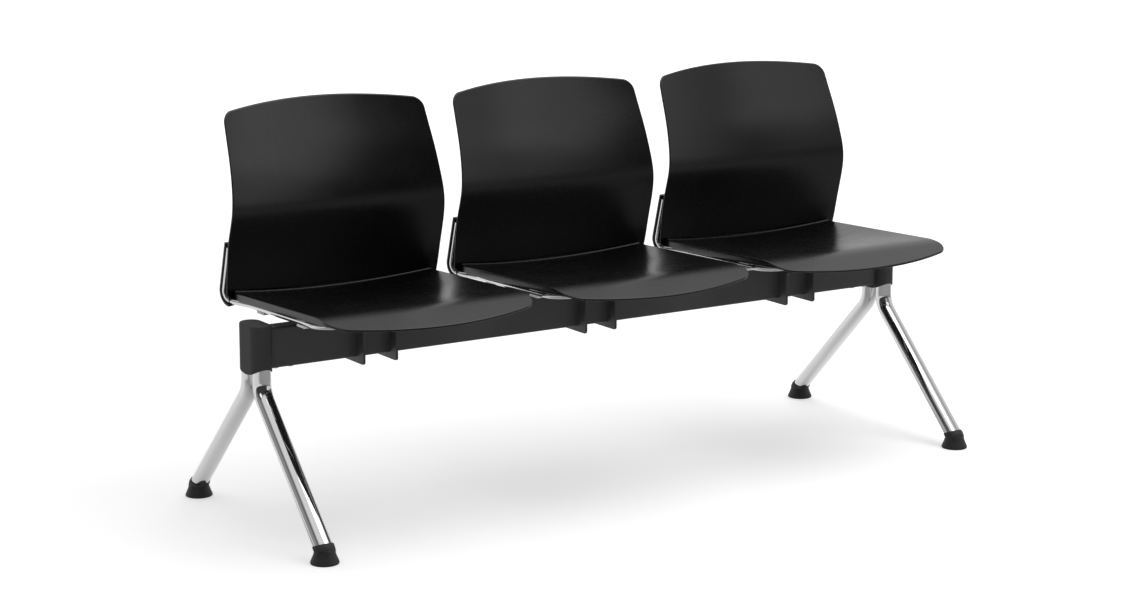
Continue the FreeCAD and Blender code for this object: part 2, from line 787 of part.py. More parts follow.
save(make_beam(bracket_holes + end_holes[-1] + end_holes[1]), "beam")
for end, side_name in ((-1, "left"), (1, "right")):
    save(make_leg_head(end, end_holes[end]), "leg_head_" + side_name)
    save(make_cap(end), "end_cap_" + side_name)
    for side, depth_name in ((-1, "front"), (1, "rear")):
        save(make_leg(end * leg_x, side), "leg_" + depth_name + "_" + side_name)
        save(make_foot(end * leg_x, side), "foot_" + depth_name + "_" + side_name)

end_screws = [pan_screw(place, Z_AXIS, m8_shank, m8_head, m8_head_height, end_screw_length)
              for end in (-1, 1) for place in end_screw_places(end)]
save(group(end_screws), "beam_end_screws")
bracket_screws = [pan_screw(place, Z_AXIS * -1, m8_shank, m8_head, m8_head_height, bracket_screw_length)
                  for place in bracket_screw_places()]
save(group(bracket_screws), "bracket_screws")
nut_drop = Z_AXIS * -(bridge_thickness + beam_wall)
nuts = [hex_nut(place + nut_drop, m8_nut_flats, m8_nut_height, m8_hole) for place in bracket_screw_places()]
save(group(nuts), "beam_nuts")

clip_screws = []
back_screws = []
for number, x in enumerate(seat_centres, 1):
    rod_spaces = [seat_rod_solid(x, side, rod_radius + rod_fit, rod_fit) for side in (-1, 1)]
    back_bores = []
    for side in (-1, 1):
        place, direction, length = back_screw(x, side)
        back_bores.append(Part.makeCylinder(m5_hole / 2, length + past, place - direction * past, direction))
        back_screws.append(pan_screw(place, direction, m5_shank, m5_head, m5_head_height,
                                     length - back_screw_stop))
    clip_bores = []
    for side, y in clip_places():
        place, length = clip_screw_at(x, side, y)
        clip_bores.append(Part.makeCylinder(m5_hole / 2, length + past, place - Z_AXIS * past))
        clip_screws.append(pan_screw(place, Z_AXIS, m5_shank, m5_head, m5_head_height, length - clip_fit))
    for side, side_name in ((-1, "left"), (1, "right")):
        rod = seat_rod_solid(x, side, rod_radius, 0)
        save(hole_free(rod, back_bores), "seat_rod_%s_%d" % (side_name, number))
    save(hole_free(make_cross_bar(x, 0), rod_spaces), "cross_bar_%d" % number)
    bar_space = make_cross_bar(x, cross_bar_fit)
    save(make_bracket(x, bracket_holes + rod_spaces + [bar_space]), "bracket_%d" % number)
    save(make_seat_shell(x, rod_spaces + clip_bores), "seat_shell_%d" % number)
    save(make_back_shell(x, rod_spaces + back_bores), "back_shell_%d" % number)
    clips = [make_clip(x, side, y, rod_spaces + clip_bores) for side, y in clip_places()]
    save(group(clips), "seat_clips_%d" % number)
save(group(clip_screws), "clip_screws")
save(group(back_screws), "back_screws")
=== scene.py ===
# %% [markdown]
# # A beam seat for a waiting room
# The object is a steel beam on splayed legs that carries moulded seats and backs on bent rods.
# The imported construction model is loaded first, as a frame that nothing here may move. Each
# visible surface is then made again, finer, as a formula on a grid, and rides on the frame.

import json
import math

import bpy
import numpy as np
from mathutils import Matrix, Vector

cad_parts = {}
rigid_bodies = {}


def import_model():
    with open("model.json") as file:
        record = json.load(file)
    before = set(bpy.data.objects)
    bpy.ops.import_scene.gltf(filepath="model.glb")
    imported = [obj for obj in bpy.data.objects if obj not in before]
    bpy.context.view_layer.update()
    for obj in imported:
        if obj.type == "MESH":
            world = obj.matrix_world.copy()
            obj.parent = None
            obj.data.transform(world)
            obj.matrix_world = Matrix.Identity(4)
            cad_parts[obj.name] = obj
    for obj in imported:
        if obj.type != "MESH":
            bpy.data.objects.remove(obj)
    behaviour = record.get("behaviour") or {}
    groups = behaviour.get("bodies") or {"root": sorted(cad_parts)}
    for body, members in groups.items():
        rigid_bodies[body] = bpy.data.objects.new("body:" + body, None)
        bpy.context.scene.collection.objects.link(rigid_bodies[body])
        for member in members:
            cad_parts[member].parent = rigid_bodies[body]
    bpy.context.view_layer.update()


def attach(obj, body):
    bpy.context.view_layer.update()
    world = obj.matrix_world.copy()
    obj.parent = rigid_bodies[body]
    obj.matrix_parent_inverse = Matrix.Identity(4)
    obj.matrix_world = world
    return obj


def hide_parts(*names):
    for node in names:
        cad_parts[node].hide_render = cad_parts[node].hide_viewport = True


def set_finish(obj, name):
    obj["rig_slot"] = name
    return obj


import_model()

# %% [markdown]
# ## Sizes
# Every size is in metres, in the frame's own axes: X along the beam, Y from the front of the
# seats to the backs, Z up. Lists of measured points are in millimetres and are multiplied by MM
# where they are used. The beam's middle lies a little behind the origin, so depths are written
# from the beam's middle and moved once, when a piece is placed.

# %% Named sizes
MM = 0.001
BEAM_Y = 4.5 * MM
SEAT_CENTRES = [-520 * MM, 0.0, 520 * MM]
LEG_X = 770 * MM
BEAM_BOTTOM = 319 * MM
BEAM_TOP = 399 * MM
SIDES = (("left", -1), ("right", 1))
DEPTHS = (("front", -1), ("rear", 1))
print("seats at", SEAT_CENTRES, "legs at", LEG_X)

# %% [markdown]
# ## A mesh from arrays
# Blender can build a shape from its own cylinders and cubes, but a moulded shell is easier to say
# as numbers. Here the points and faces are numpy arrays, and foreach_set copies them into the mesh
# in one go, which stays quick for thousands of points. Faces have to look outwards, or light and
# bumps turn round. The volume under the faces tells: it is negative when they look in.

# %% Write points and faces into a mesh
def signed_volume(mesh):
    """A sixth of the sum of triple products of each triangle's corners: positive if faces look
    outwards."""
    mesh.calc_loop_triangles()
    places = np.zeros(len(mesh.vertices) * 3)
    mesh.vertices.foreach_get("co", places)
    picks = np.zeros(len(mesh.loop_triangles) * 3, dtype=np.int32)
    mesh.loop_triangles.foreach_get("vertices", picks)
    a, b, c = places.reshape(-1, 3)[picks.reshape(-1, 3)].transpose(1, 0, 2)
    return float(np.einsum("ij,ij->i", a, np.cross(b, c)).sum() / 6)


def arrays_to_object(name, points, corners, sizes, sharp_angle):
    """A mesh object whose faces take the next so many corners each. It is shaded smooth, but for
    edges that turn by more than the sharp angle, in degrees."""
    mesh = bpy.data.meshes.new(name)
    mesh.vertices.add(len(points))
    mesh.vertices.foreach_set("co", points.astype(np.float32).ravel())
    mesh.loops.add(len(corners))
    mesh.loops.foreach_set("vertex_index", corners.astype(np.int32))
    mesh.polygons.add(len(sizes))
    starts = np.concatenate([[0], np.cumsum(sizes)[:-1]])
    mesh.polygons.foreach_set("loop_start", starts.astype(np.int32))
    mesh.update(calc_edges=True)
    mesh.validate()
    if signed_volume(mesh) < 0:
        mesh.flip_normals()
    mesh.shade_smooth()
    mesh.set_sharp_from_angle(angle=math.radians(sharp_angle))
    made = bpy.data.objects.new(name, mesh)
    bpy.context.scene.collection.objects.link(made)
    return made


print("meshes so far", len(bpy.data.meshes))

# %% [markdown]
# ## A skin over a stack of loops
# A shape here is a stack of closed loops: an array with one row for each loop and one column for
# each point round it. Neighbouring loops are joined with four-sided faces. The first and the last
# loop are closed, so that the mesh has no hole: round ends with a fan of triangles to a middle
# point, and flat plates with one face of many corners.

# %% Turn a stack of loops into an object
def loop_quads(rows, columns):
    """Corners of the faces that join row r to row r + 1 and column c to column c + 1, with the
    last column joined to the first."""
    row = np.arange(rows - 1)[:, None] * columns
    column = np.arange(columns)[None, :]
    after = (column + 1) % columns
    next_row = row + columns
    return np.stack([row + column, row + after, next_row + after, next_row + column], axis=-1)


def loops_to_object(name, loops, sharp_angle=35.0):
    """Quads between the loops, and at both ends a fan to the average point of the end loop."""
    rows, columns = loops.shape[:2]
    middles = loops[[0, -1]].mean(axis=1)
    points = np.concatenate([loops.reshape(-1, 3), middles])
    quads = loop_quads(rows, columns)
    ring = np.arange(columns)
    after = (ring + 1) % columns
    end = (rows - 1) * columns
    low_middle, high_middle = rows * columns, rows * columns + 1
    fan_low = np.stack([ring, np.full(columns, low_middle), after], axis=-1)
    fan_high = np.stack([end + ring, end + after, np.full(columns, high_middle)], axis=-1)
    corners = np.concatenate([quads.reshape(-1), fan_low.reshape(-1), fan_high.reshape(-1)])
    sizes = np.concatenate([np.full(quads.size // 4, 4), np.full(2 * columns, 3)])
    return arrays_to_object(name, points, corners, sizes, sharp_angle)


def faced_object(name, loops, sharp_angle):
    """Quads between the loops, and at both ends one flat face with a corner at every point."""
    rows, columns = loops.shape[:2]
    quads = loop_quads(rows, columns)
    ring = np.arange(columns)
    corners = np.concatenate([quads.reshape(-1), ring[::-1], (rows - 1) * columns + ring])
    sizes = np.concatenate([np.full(quads.size // 4, 4), [columns, columns]])
    return arrays_to_object(name, loops.reshape(-1, 3), corners, sizes, sharp_angle)


print("a stack of 3 loops of 4 points has", loop_quads(3, 4).size // 4, "faces between them")

# %% [markdown]
# A finished piece is tied to the frame in one place. It rides on the body that carries it, names
# its finish, and hides the plain construction nodes that it stands for. The seats don't fold and
# the feet don't turn, so the object is one body.

# %% Fit a piece to the frame
def fit(piece, slot, *nodes):
    """Ride a finished piece on the one body, name its finish and hide the nodes it replaces."""
    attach(piece, "root")
    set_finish(piece, slot)
    if nodes:
        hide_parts(*nodes)
    print(piece.name, len(piece.data.polygons), "faces")


print("pieces ride on the body root")

# %% [markdown]
# ## Outlines with round corners
# Seats, backs, beam and plates all start from an outline whose corners are rounded. A Bevel
# modifier could round them on the mesh, but a rounded outline gives every loop of the stack the
# same even points. Each side is a run of points. It is cut short at both ends, and the gap is
# bridged by a curve that leaves one side and joins the next in their own directions.

# %% Even spacing
def along(points, count, start=0.0, end=0.0):
    """The same run of points again, at even spacing, without a length at its start and end."""
    steps = np.linalg.norm(np.diff(points, axis=0), axis=1)
    travelled = np.concatenate([[0.0], np.cumsum(steps)])
    wanted = np.linspace(start, travelled[-1] - end, count)
    axes = [np.interp(wanted, travelled, points[:, k]) for k in range(points.shape[1])]
    return np.stack(axes, axis=-1)


print("a line in thirds:", along(np.array([[0.0, 0.0], [3.0, 0.0]]), 4)[:, 0])

# %% [markdown]
# The corner's curve is a cubic with two handles. With handles of 0.552 of the radius it follows
# a quarter circle to a few parts in ten thousand, and it also fits corners that aren't square.

# %% Rounded outlines
ARC_HANDLE = 0.552


def rounded_loop(sides, radii, counts, corner_count=14):
    """Sides in order, each cut short by the radius of the corner at its start and at its end. A
    corner is the cubic of its two ends and two handles, weighted by the powers of t and 1 - t."""
    pieces = []
    total = len(sides)
    cut = [along(side, counts[i], radii[i], radii[(i + 1) % total])
           for i, side in enumerate(sides)]
    t = np.linspace(0, 1, corner_count + 2)[1:-1, None]
    for i, here in enumerate(cut):
        following = cut[(i + 1) % total]
        leave = here[-1] - here[-2]
        arrive = following[1] - following[0]
        handle = ARC_HANDLE * radii[(i + 1) % total]
        b = here[-1] + leave / np.linalg.norm(leave) * handle
        c = following[0] - arrive / np.linalg.norm(arrive) * handle
        corner = (1 - t) ** 3 * here[-1] + 3 * (1 - t) ** 2 * t * b
        corner = corner + 3 * (1 - t) * t ** 2 * c + t ** 3 * following[0]
        pieces += [here, corner]
    return np.concatenate(pieces)


def box_section(half_side, half_other, corner):
    """A rectangle with rounded corners, as offsets from its middle."""
    a = np.array([[-half_side, -half_other], [half_side, -half_other]])
    b = np.array([[half_side, -half_other], [half_side, half_other]])
    return rounded_loop([a, b, -a, -b], [corner] * 4, [6] * 4, corner_count=10)


print("a rounded rectangle has", len(box_section(2.0, 1.0, 0.2)), "points")

# %% [markdown]
# Walls and rounded edges are made by moving an outline inwards. For that each of its points needs
# the direction out of the loop.

# %% Directions out of an outline
def outward(loop):
    """Unit directions out of a closed loop, square to the run from the point before to the one
    after."""
    before, after = np.roll(loop, 1, axis=0), np.roll(loop, -1, axis=0)
    run = after - before
    area = np.sum(loop[:, 0] * after[:, 1] - after[:, 0] * loop[:, 1])
    out = np.stack([run[:, 1], -run[:, 0]], axis=-1) * np.sign(area)
    return out / np.linalg.norm(out, axis=1, keepdims=True)


print("out of a box's first side:", outward(box_section(2.0, 1.0, 0.2))[3])

# %% [markdown]
# ## Arcs and smooth curves
# A moulded edge is a shallow arc or a slow swing through a few measured places. The front and
# rear edges of the seats and the tops of the backs are arcs. An arc is worked out from its two
# ends and its rise, because those are what a ruler gives.

# %% Arcs
def arc_through(a, b, rise, count=160):
    """Points from a to b on a circle whose middle point stands a rise to the right of the line.
    The radius is the square of half the chord plus the square of the rise, over twice the rise."""
    a, b = np.array(a, float), np.array(b, float)
    half = np.linalg.norm(b - a) / 2
    radius = (half * half + rise * rise) / (2 * rise)
    ahead = (b - a) / (2 * half)
    right = np.array([ahead[1], -ahead[0]])
    centre = (a + b) / 2 + right * (rise - radius)
    turn = math.asin(half / radius)
    angle = np.linspace(-turn, turn, count)[:, None]
    return centre + radius * (np.sin(angle) * ahead + np.cos(angle) * right)


print("middle of a test arc:", arc_through((0, 0), (2, 0), 0.5, 3)[1].round(3))

# %% [markdown]
# A slow swing is a natural cubic spline, which a draughtsman's bent strip of wood draws too. It
# passes through every measured place and has no corner in it anywhere. Straight lines between
# the places would show as creases in a glossy back.

# %% Splines
def smooth_curve(knots):
    """A natural cubic through (place, value) pairs: its second slopes solve a three-banded
    system, and each stretch is a straight line plus a cubic from the slopes at its ends."""
    x, y = np.array(knots, float).T
    h = np.diff(x)
    count = len(x)
    system = np.eye(count)
    right = np.zeros(count)
    inner = np.arange(1, count - 1)
    system[inner, inner - 1] = h[:-1]
    system[inner, inner] = 2 * (h[:-1] + h[1:])
    system[inner, inner + 1] = h[1:]
    right[1:-1] = 6 * (np.diff(y)[1:] / h[1:] - np.diff(y)[:-1] / h[:-1])
    bend = np.linalg.solve(system, right)

    def value(at):
        k = np.clip(np.searchsorted(x, at) - 1, 0, count - 2)
        a, b = x[k + 1] - at, at - x[k]
        cubic = (bend[k] * a ** 3 + bend[k + 1] * b ** 3) / (6 * h[k])
        low = (y[k] / h[k] - bend[k] * h[k] / 6) * a
        high = (y[k + 1] / h[k] - bend[k + 1] * h[k] / 6) * b
        return cubic + (low + high)

    return value


print("between 0, 1 and 0:", float(smooth_curve([(0, 0), (1, 1), (2, 0)])(0.5)))

# %% [markdown]
# Where one part of a surface gives way to the next, a soft step fades the one out. Its slope is
# nought at both ends, so the light doesn't break there.

# %% Soft steps
def ease(value, start, end):
    """0 before start, 1 after end, and a smooth S between: three times the square of the share
    less twice its cube."""
    t = np.clip((value - start) / (end - start), 0, 1)
    return t * t * (3 - 2 * t)


print("half way up a soft step:", float(ease(0.5, 0.0, 1.0)))

# %% [markdown]
# ## The back's shape
# A back is one moulded panel. Seen from the side its edge swings forward at the small of the
# back and leans away above it. Seen from above it is hollow. It could be sculpted, but two
# curves through a few measured heights give the edge's depth and the half width exactly, and a
# parabola across the panel gives the hollow.

# %% Curves of the back
BACK_BOTTOM, BACK_SIDE_TOP, BACK_CROWN = 423 * MM, 794 * MM, 16 * MM
HOLLOW_LOW, HOLLOW_GAIN = 22, 10
edge_depth = smooth_curve([(400, 156), (450, 143), (500, 133.5), (550, 121.5), (600, 112),
                           (650, 119.5), (700, 135.5), (750, 156.5), (830, 189)])
half_width = smooth_curve([(400, 236), (450, 239.5), (500, 242), (550, 243), (600, 239.5),
                           (650, 234.7), (700, 231), (750, 227.5), (830, 222.5)])


def back_depth(x, z):
    """Depth of the front face: the side edge's depth plus a hollow of 22 mm at the bottom,
    growing to 32 mm at the top, times one less the square of the share of the half width."""
    climb = (z - BACK_BOTTOM) / (BACK_SIDE_TOP - BACK_BOTTOM)
    hollow = (HOLLOW_LOW + HOLLOW_GAIN * climb) * MM
    across = x / (half_width(z / MM) * MM)
    return edge_depth(z / MM) * MM + hollow * (1 - across ** 2)


print("small of the back at depth", round(float(back_depth(0.24, 0.6)), 4))

# %% [markdown]
# ## The seat's shape
# The seat is a tilted plane, dished for the sitter. Its front falls away so that it doesn't press
# behind the knees, and a small lip runs along its rear edge. Each of these is one term of a sum,
# so that each can be set by itself. A subdivided cage would mix them.

# %% Height of the seat
SEAT_HALF, SEAT_FRONT, SEAT_FRONT_SIDE = 226 * MM, 310 * MM, 268 * MM
SEAT_REAR_SIDE, SEAT_REAR_BULGE = 145.7 * MM, 20.1 * MM
SEAT_LEVEL, SEAT_TILT = 446.2 * MM, 0.036
DISH_DEPTH, DISH_START = 15 * MM, -210 * MM
FALL_START, FALL_BEND, FALL_SLOPE = -200 * MM, 46 * MM, 0.293
LIP_SOFT, LIP_SOFT_WIDTH = 0.3 * MM, 32 * MM
LIP_STEEP, LIP_STEEP_WIDTH, LIP_FLAT = 3.2 * MM, 7 * MM, 1.5 * MM


def seat_rear(x):
    """Rear edge in plan: the side's depth plus a parabola across the width."""
    return SEAT_REAR_SIDE + SEAT_REAR_BULGE * (1 - (x / SEAT_HALF) ** 2)


def seat_height(x, y):
    """Plane, less a dish that fades to the front, less a fall that bends over 46 mm and then runs
    straight, plus a lip: 0.3 mm over the last 32 mm and 3.2 mm more over the last 7 mm."""
    plane = SEAT_LEVEL - SEAT_TILT * y
    dish = DISH_DEPTH * ease(y, DISH_START, 0.0) * np.maximum(0, 1 - (x / SEAT_HALF) ** 2)
    ahead = np.maximum(0, FALL_START - y)
    bent = np.minimum(ahead, FALL_BEND)
    fall = FALL_SLOPE * (bent ** 2 / (2 * FALL_BEND) + ahead - bent)
    rear = seat_rear(x)
    lip = LIP_SOFT * ease(y, rear - LIP_SOFT_WIDTH, rear)
    lip = lip + LIP_STEEP * ease(y, rear - LIP_STEEP_WIDTH, rear - LIP_FLAT)
    return plane - dish - fall + lip


print("middle of the seat", round(float(seat_height(0.0, 0.0)), 4))

# %% [markdown]
# ## Outline of the seat
# In plan the seat has a bowed front, two straight sides and a rear edge that follows the back.
# The four are drawn in order round the seat, and the outline helper rounds the corners.

# %% Seat outline
SEAT_CORNERS = [34 * MM, 34 * MM, 8 * MM, 8 * MM]


def seat_outline():
    """Front arc, right side, rear arc and left side, with large corners in front and small ones
    behind."""
    front_left, front_right = (-SEAT_HALF, -SEAT_FRONT_SIDE), (SEAT_HALF, -SEAT_FRONT_SIDE)
    rear_left, rear_right = (-SEAT_HALF, SEAT_REAR_SIDE), (SEAT_HALF, SEAT_REAR_SIDE)
    front = arc_through(front_left, front_right, SEAT_FRONT - SEAT_FRONT_SIDE)
    right = np.array([front_right, rear_right])
    rear = arc_through(rear_right, rear_left, SEAT_REAR_BULGE)
    left = np.array([rear_left, front_left])
    return rounded_loop([front, right, rear, left], SEAT_CORNERS, [90, 70, 90, 70])


print("seat outline has", len(seat_outline()), "points")

# %% [markdown]
# ## Seat shells
# A real shell is about 4.5 mm thick with a skirt that turns down at the sides and the rear. A
# Solidify modifier would give the wall but not the skirt. Instead its section is followed like a
# pen line: out over the top from the middle, round the edge, down the skirt, round its foot, up
# inside and back to the middle underneath. Each pen position is one loop, which is the outline
# moved inwards, so one array holds the whole closed shell.

# %% Pen line of a skirted shell
EDGE_TURN = np.radians([18, 36, 54, 72, 90])
FOOT_TURN = np.radians([30, 60, 90, 120, 150, 180])
SKIRT_GAP = 1.5 * MM
INNERMOST = 0.03


def shrinking(count):
    """Shares from the innermost loop to the whole outline, closer together near the edge: the
    sine of an even angle."""
    return np.sin(np.linspace(INNERMOST, 1, count) * np.pi / 2)[:, None, None]


def lifted(plan, z):
    """Plan points with a height each, or with one height for all."""
    return np.concatenate([plan, np.broadcast_to(z, plan.shape[:-1])[..., None]], axis=-1)


def shell_loops(outline, height, low_edge, wall, skirt_wall, edge_round):
    """Top: the outline, inset by the edge's radius, shrunk to its middle. Edge: a quarter circle.
    Skirt: straight down to the low edge, a half round foot, and up inside. Underside: the top's
    height less the wall. The skirt never reaches up past the underside."""
    out = outward(outline)
    middle = outline.mean(axis=0)
    inner = outline - out * edge_round
    top = middle + (inner - middle) * shrinking(44)
    rows = [lifted(top, height(top[..., 0], top[..., 1]))]
    rim = height(inner[:, 0], inner[:, 1])
    foot = skirt_wall / 2
    ceiling = height(outline[:, 0], outline[:, 1]) - wall
    low = np.minimum(low_edge(outline[:, 1]), ceiling)
    for angle in EDGE_TURN:
        plan = inner + out * edge_round * math.sin(angle)
        rows.append(lifted(plan, rim - edge_round * (1 - math.cos(angle)))[None])
    for share_down in (0.33, 0.66, 1.0):
        z = (rim - edge_round) * (1 - share_down) + (low + foot * 0.9) * share_down
        rows.append(lifted(outline, z)[None])
    for angle in FOOT_TURN:
        plan = outline - out * foot * (1 - math.cos(angle))
        z = low + foot * (1 - math.sin(angle))
        rows.append(lifted(plan, np.minimum(z, ceiling) if angle > np.pi / 2 else z)[None])
    inside = outline - out * skirt_wall
    rows.append(lifted(inside, np.maximum(ceiling - SKIRT_GAP, low))[None])
    inset = outline - out * (skirt_wall + SKIRT_GAP)
    share = np.linspace(1, INNERMOST, 24)[:, None, None]
    under = middle + (inset - middle) * share
    rows.append(lifted(under, height(under[..., 0], under[..., 1]) - wall))
    return np.concatenate(rows)


print("pen positions round the edge and the foot:", len(EDGE_TURN) + len(FOOT_TURN))

# %% [markdown]
# All three seats are the same moulding, so the loops are worked out once and moved along the beam.
# The skirt's lower edge is nearly level, and drops a little to the rear.

# %% Build the seat shells
SKIRT_LEVEL, SKIRT_TILT = 429.9 * MM, 0.0457


def skirt_edge(y):
    """Height of the skirt's lower edge: a straight line along the depth."""
    return SKIRT_LEVEL - SKIRT_TILT * y


seat_loops = shell_loops(seat_outline(), seat_height, skirt_edge,
                         wall=4.5 * MM, skirt_wall=3.6 * MM, edge_round=2.2 * MM)
for number, centre in enumerate(SEAT_CENTRES, 1):
    placed = seat_loops + np.array([centre, BEAM_Y, 0])
    shell = loops_to_object("seat_pan_%d" % number, placed)
    fit(shell, "shell_plastic", "seat_shell_%d" % number)

# %% [markdown]
# ## Back shells
# The back is drawn the same way, but its outline stands upright and its thickness runs to the
# rear. Both edges are rounded, because a moulded edge catches a thin line of light all round,
# and a sharp one would look cut from paper.

# %% Pen line of a back panel
BACK_CORNERS = [14 * MM, 14 * MM, 20 * MM, 20 * MM]


def back_outline():
    """Bottom line, right edge, crowned top and left edge, with rounded corners."""
    heights = np.linspace(BACK_BOTTOM, BACK_SIDE_TOP, 90)
    widths = half_width(heights / MM) * MM
    bottom = np.array([[-widths[0], BACK_BOTTOM], [widths[0], BACK_BOTTOM]])
    right = np.column_stack([widths, heights])
    top = arc_through((widths[-1], BACK_SIDE_TOP), (-widths[-1], BACK_SIDE_TOP), BACK_CROWN)
    left = np.column_stack([-widths, heights])[::-1]
    return rounded_loop([bottom, right, top, left], BACK_CORNERS, [80, 84, 80, 84])


def panel_loops(outline, depth, wall, edge_round):
    """Front face from its middle out, a quarter circle, the edge, a quarter circle and the rear
    face back to its middle. The rear face is the front's depth plus the wall."""
    out = outward(outline)
    middle = outline.mean(axis=0)
    inner = outline - out * edge_round
    rows = []
    face = middle + (inner - middle) * shrinking(46)
    for order, offset in ((1, 0.0), (-1, wall)):
        y = depth(face[..., 0], face[..., 1]) + offset
        sheet = np.stack([face[..., 0], y, face[..., 1]], axis=-1)[::order]
        bend = []
        for angle in EDGE_TURN:
            plan = inner + out * edge_round * math.sin(angle)
            drop = order * edge_round * (1 - math.cos(angle))
            y = depth(plan[:, 0], plan[:, 1]) + offset + drop
            bend.append(np.column_stack([plan[:, 0], y, plan[:, 1]]))
        bend = np.array(bend)[::order]
        rows += [sheet, bend] if order == 1 else [bend, sheet]
    return np.concatenate(rows)


print("back outline has", len(back_outline()), "points")

# %% [markdown]
# The three backs are one moulding too, 5 mm thick, so their loops are also worked out once.

# %% Build the back panels
back_loops = panel_loops(back_outline(), back_depth, wall=5 * MM, edge_round=2.2 * MM)
for number, centre in enumerate(SEAT_CENTRES, 1):
    placed = back_loops + np.array([centre, BEAM_Y, 0])
    panel = loops_to_object("back_panel_%d" % number, placed)
    fit(panel, "shell_plastic", "back_shell_%d" % number)

# %% [markdown]
# ## Routes and sweeps
# Rods, legs and the channels for the rods are one section carried along a bent route. A curve
# object with a round bevel could do this for the rods, but not for an oval or a channel. The
# route is straight runs joined by true arcs, as a bending machine makes them. The section keeps
# one of its directions as near as it can to where it pointed at the step before, so that it
# never twists.

# %% Bent routes
def bent_route(corners, radii, spacing=6 * MM, arc_step=4.0):
    """Each inner corner is cut back by radius times the tangent of half its turn and bridged by
    an arc. Straight runs get a point about every spacing, arcs one every few degrees."""
    corners = [np.array(c, float) for c in corners]
    route = []
    here = corners[0]
    for i in range(1, len(corners) - 1):
        into = corners[i] - corners[i - 1]
        away = corners[i + 1] - corners[i]
        into, away = into / np.linalg.norm(into), away / np.linalg.norm(away)
        turn = math.acos(float(np.clip(into @ away, -1, 1)))
        back = radii[i - 1] * math.tan(turn / 2)
        start = corners[i] - into * back
        side = away - into * (into @ away)
        centre = start + side / np.linalg.norm(side) * radii[i - 1]
        count = max(2, int(np.linalg.norm(start - here) / spacing))
        run = np.linspace(0, 1, count, endpoint=False)[:, None]
        route.append(here + (start - here) * run)
        count = max(3, int(math.degrees(turn) / arc_step))
        angle = np.linspace(0, turn, count, endpoint=False)[:, None]
        from_centre = start - centre
        route.append(centre + np.cos(angle) * from_centre + np.sin(angle) * into * radii[i - 1])
        here = corners[i] + away * back
    count = max(2, int(np.linalg.norm(corners[-1] - here) / spacing))
    route.append(here + (corners[-1] - here) * np.linspace(0, 1, count)[:, None])
    return np.concatenate(route)


def tangents(route):
    """Unit directions along a route, from the difference between the points before and after."""
    run = np.gradient(route, axis=0)
    return run / np.linalg.norm(run, axis=1, keepdims=True)


test_corners = [(0, 0, 0), (1, 0, 0), (1, 1, 0)]
print("a right-angled bend has", len(bent_route(test_corners, [0.1], 0.1)), "points")

# %% [markdown]
# A section is a list of points, each given by two offsets from the route: one along the side
# direction and one along the direction square to both. The same helper carries circles, ovals,
# rectangles and grooves.

# %% Sections carried along a route
def placed_section(route, section, side, other):
    """Each route point plus the section's two offsets, times the side and the other direction."""
    return (route[:, None] + section[..., :1] * side[:, None]
            + section[..., 1:] * other[:, None])


def sweep(route, section, first_side):
    """Loops of a section, given as (side, other) offsets, at each point of a route. The side
    direction is carried along and made square to the route again at each step."""
    tangent = tangents(route)
    sides = []
    side = np.array(first_side, float)
    for t in tangent:
        side = side - t * (side @ t)
        side = side / np.linalg.norm(side)
        sides.append(side)
    sides = np.array(sides)
    return placed_section(route, section, sides, np.cross(tangent, sides))


def oval(half_side, half_other, count=48):
    """Points of an oval: half widths times the cosine and the sine of the angle round it."""
    angle = np.linspace(0, 2 * np.pi, count, endpoint=False)
    return np.column_stack([half_side * np.cos(angle), half_other * np.sin(angle)])


print("a round section has", len(oval(1.0, 1.0)), "points")

# %% [markdown]
# ## Seat rods
# Each seat hangs in two bent rods of 12 mm. A rod starts in the channel of the back, bends
# forward under the seat's side, runs along it and turns in to the bracket on the beam. The
# corners of its route are given, and the bends follow from their radii, as on a bending plan.

# %% Build the seat rods
ROD_RADIUS = 6 * MM
ROD_BENDS = [18 * MM, 60 * MM, 45 * MM]
ROD_X, ROD_RUN_X, ROD_END_X = 235 * MM, 214 * MM, 39.1 * MM
ROD_TOP = (137.4 * MM, 533 * MM)
ROD_HEEL = (168 * MM, 424 * MM)
ROD_REAR = (95 * MM, 422.5 * MM)
ROD_FRONT = (-205 * MM, 431 * MM)


def rod_corners(centre, side):
    """Top, heel, rear and front of the side run, and the arm's end on the bracket plate."""
    places = [(ROD_X, *ROD_TOP), (ROD_X, *ROD_HEEL), (ROD_RUN_X, *ROD_REAR),
              (ROD_RUN_X, *ROD_FRONT), (ROD_END_X, *ROD_FRONT)]
    return [(centre + side * x, y + BEAM_Y, z) for x, y, z in places]


for number, centre in enumerate(SEAT_CENTRES, 1):
    for side_name, side in SIDES:
        route = bent_route(rod_corners(centre, side), ROD_BENDS)
        loops = sweep(route, oval(ROD_RADIUS, ROD_RADIUS), (1, 0, 0))
        rod = loops_to_object("rod_%s_%d" % (side_name, number), loops)
        fit(rod, "rod_chrome", "seat_rod_%s_%d" % (side_name, number))

# %% [markdown]
# ## Channels in the backs
# At each lower side of a back a channel is moulded on behind the panel, and it is open outwards
# so that the rod can be pressed in. It has an inner wall, a front wall and a rear wall. From the
# side the rod shows as a bright line between the two outer edges. Cutting the groove with a
# Boolean would leave ragged faces round the bend, so the channel's own section is carried along
# the rod's route.

# %% Section and route of a channel
CHANNEL_TOP = 540 * MM
CHANNEL_LEAD = 20 * MM
CHANNEL_OUTLINE = [(-9.4, -9.0), (5.6, -9.0), (6.2, -8.6), (6.2, -6.8), (5.8, -6.4),
                   (-4.0, -6.4), (-6.4, -5.0), (-6.4, 1.0), (-5.6, 3.7), (-3.7, 5.6),
                   (-1.0, 6.4), (6.4, 6.4), (7.1, 6.7), (7.4, 7.2), (7.4, 10.0),
                   (7.1, 10.6), (6.4, 10.9), (-7.6, 10.9), (-8.9, 10.4), (-9.4, 9.2)]


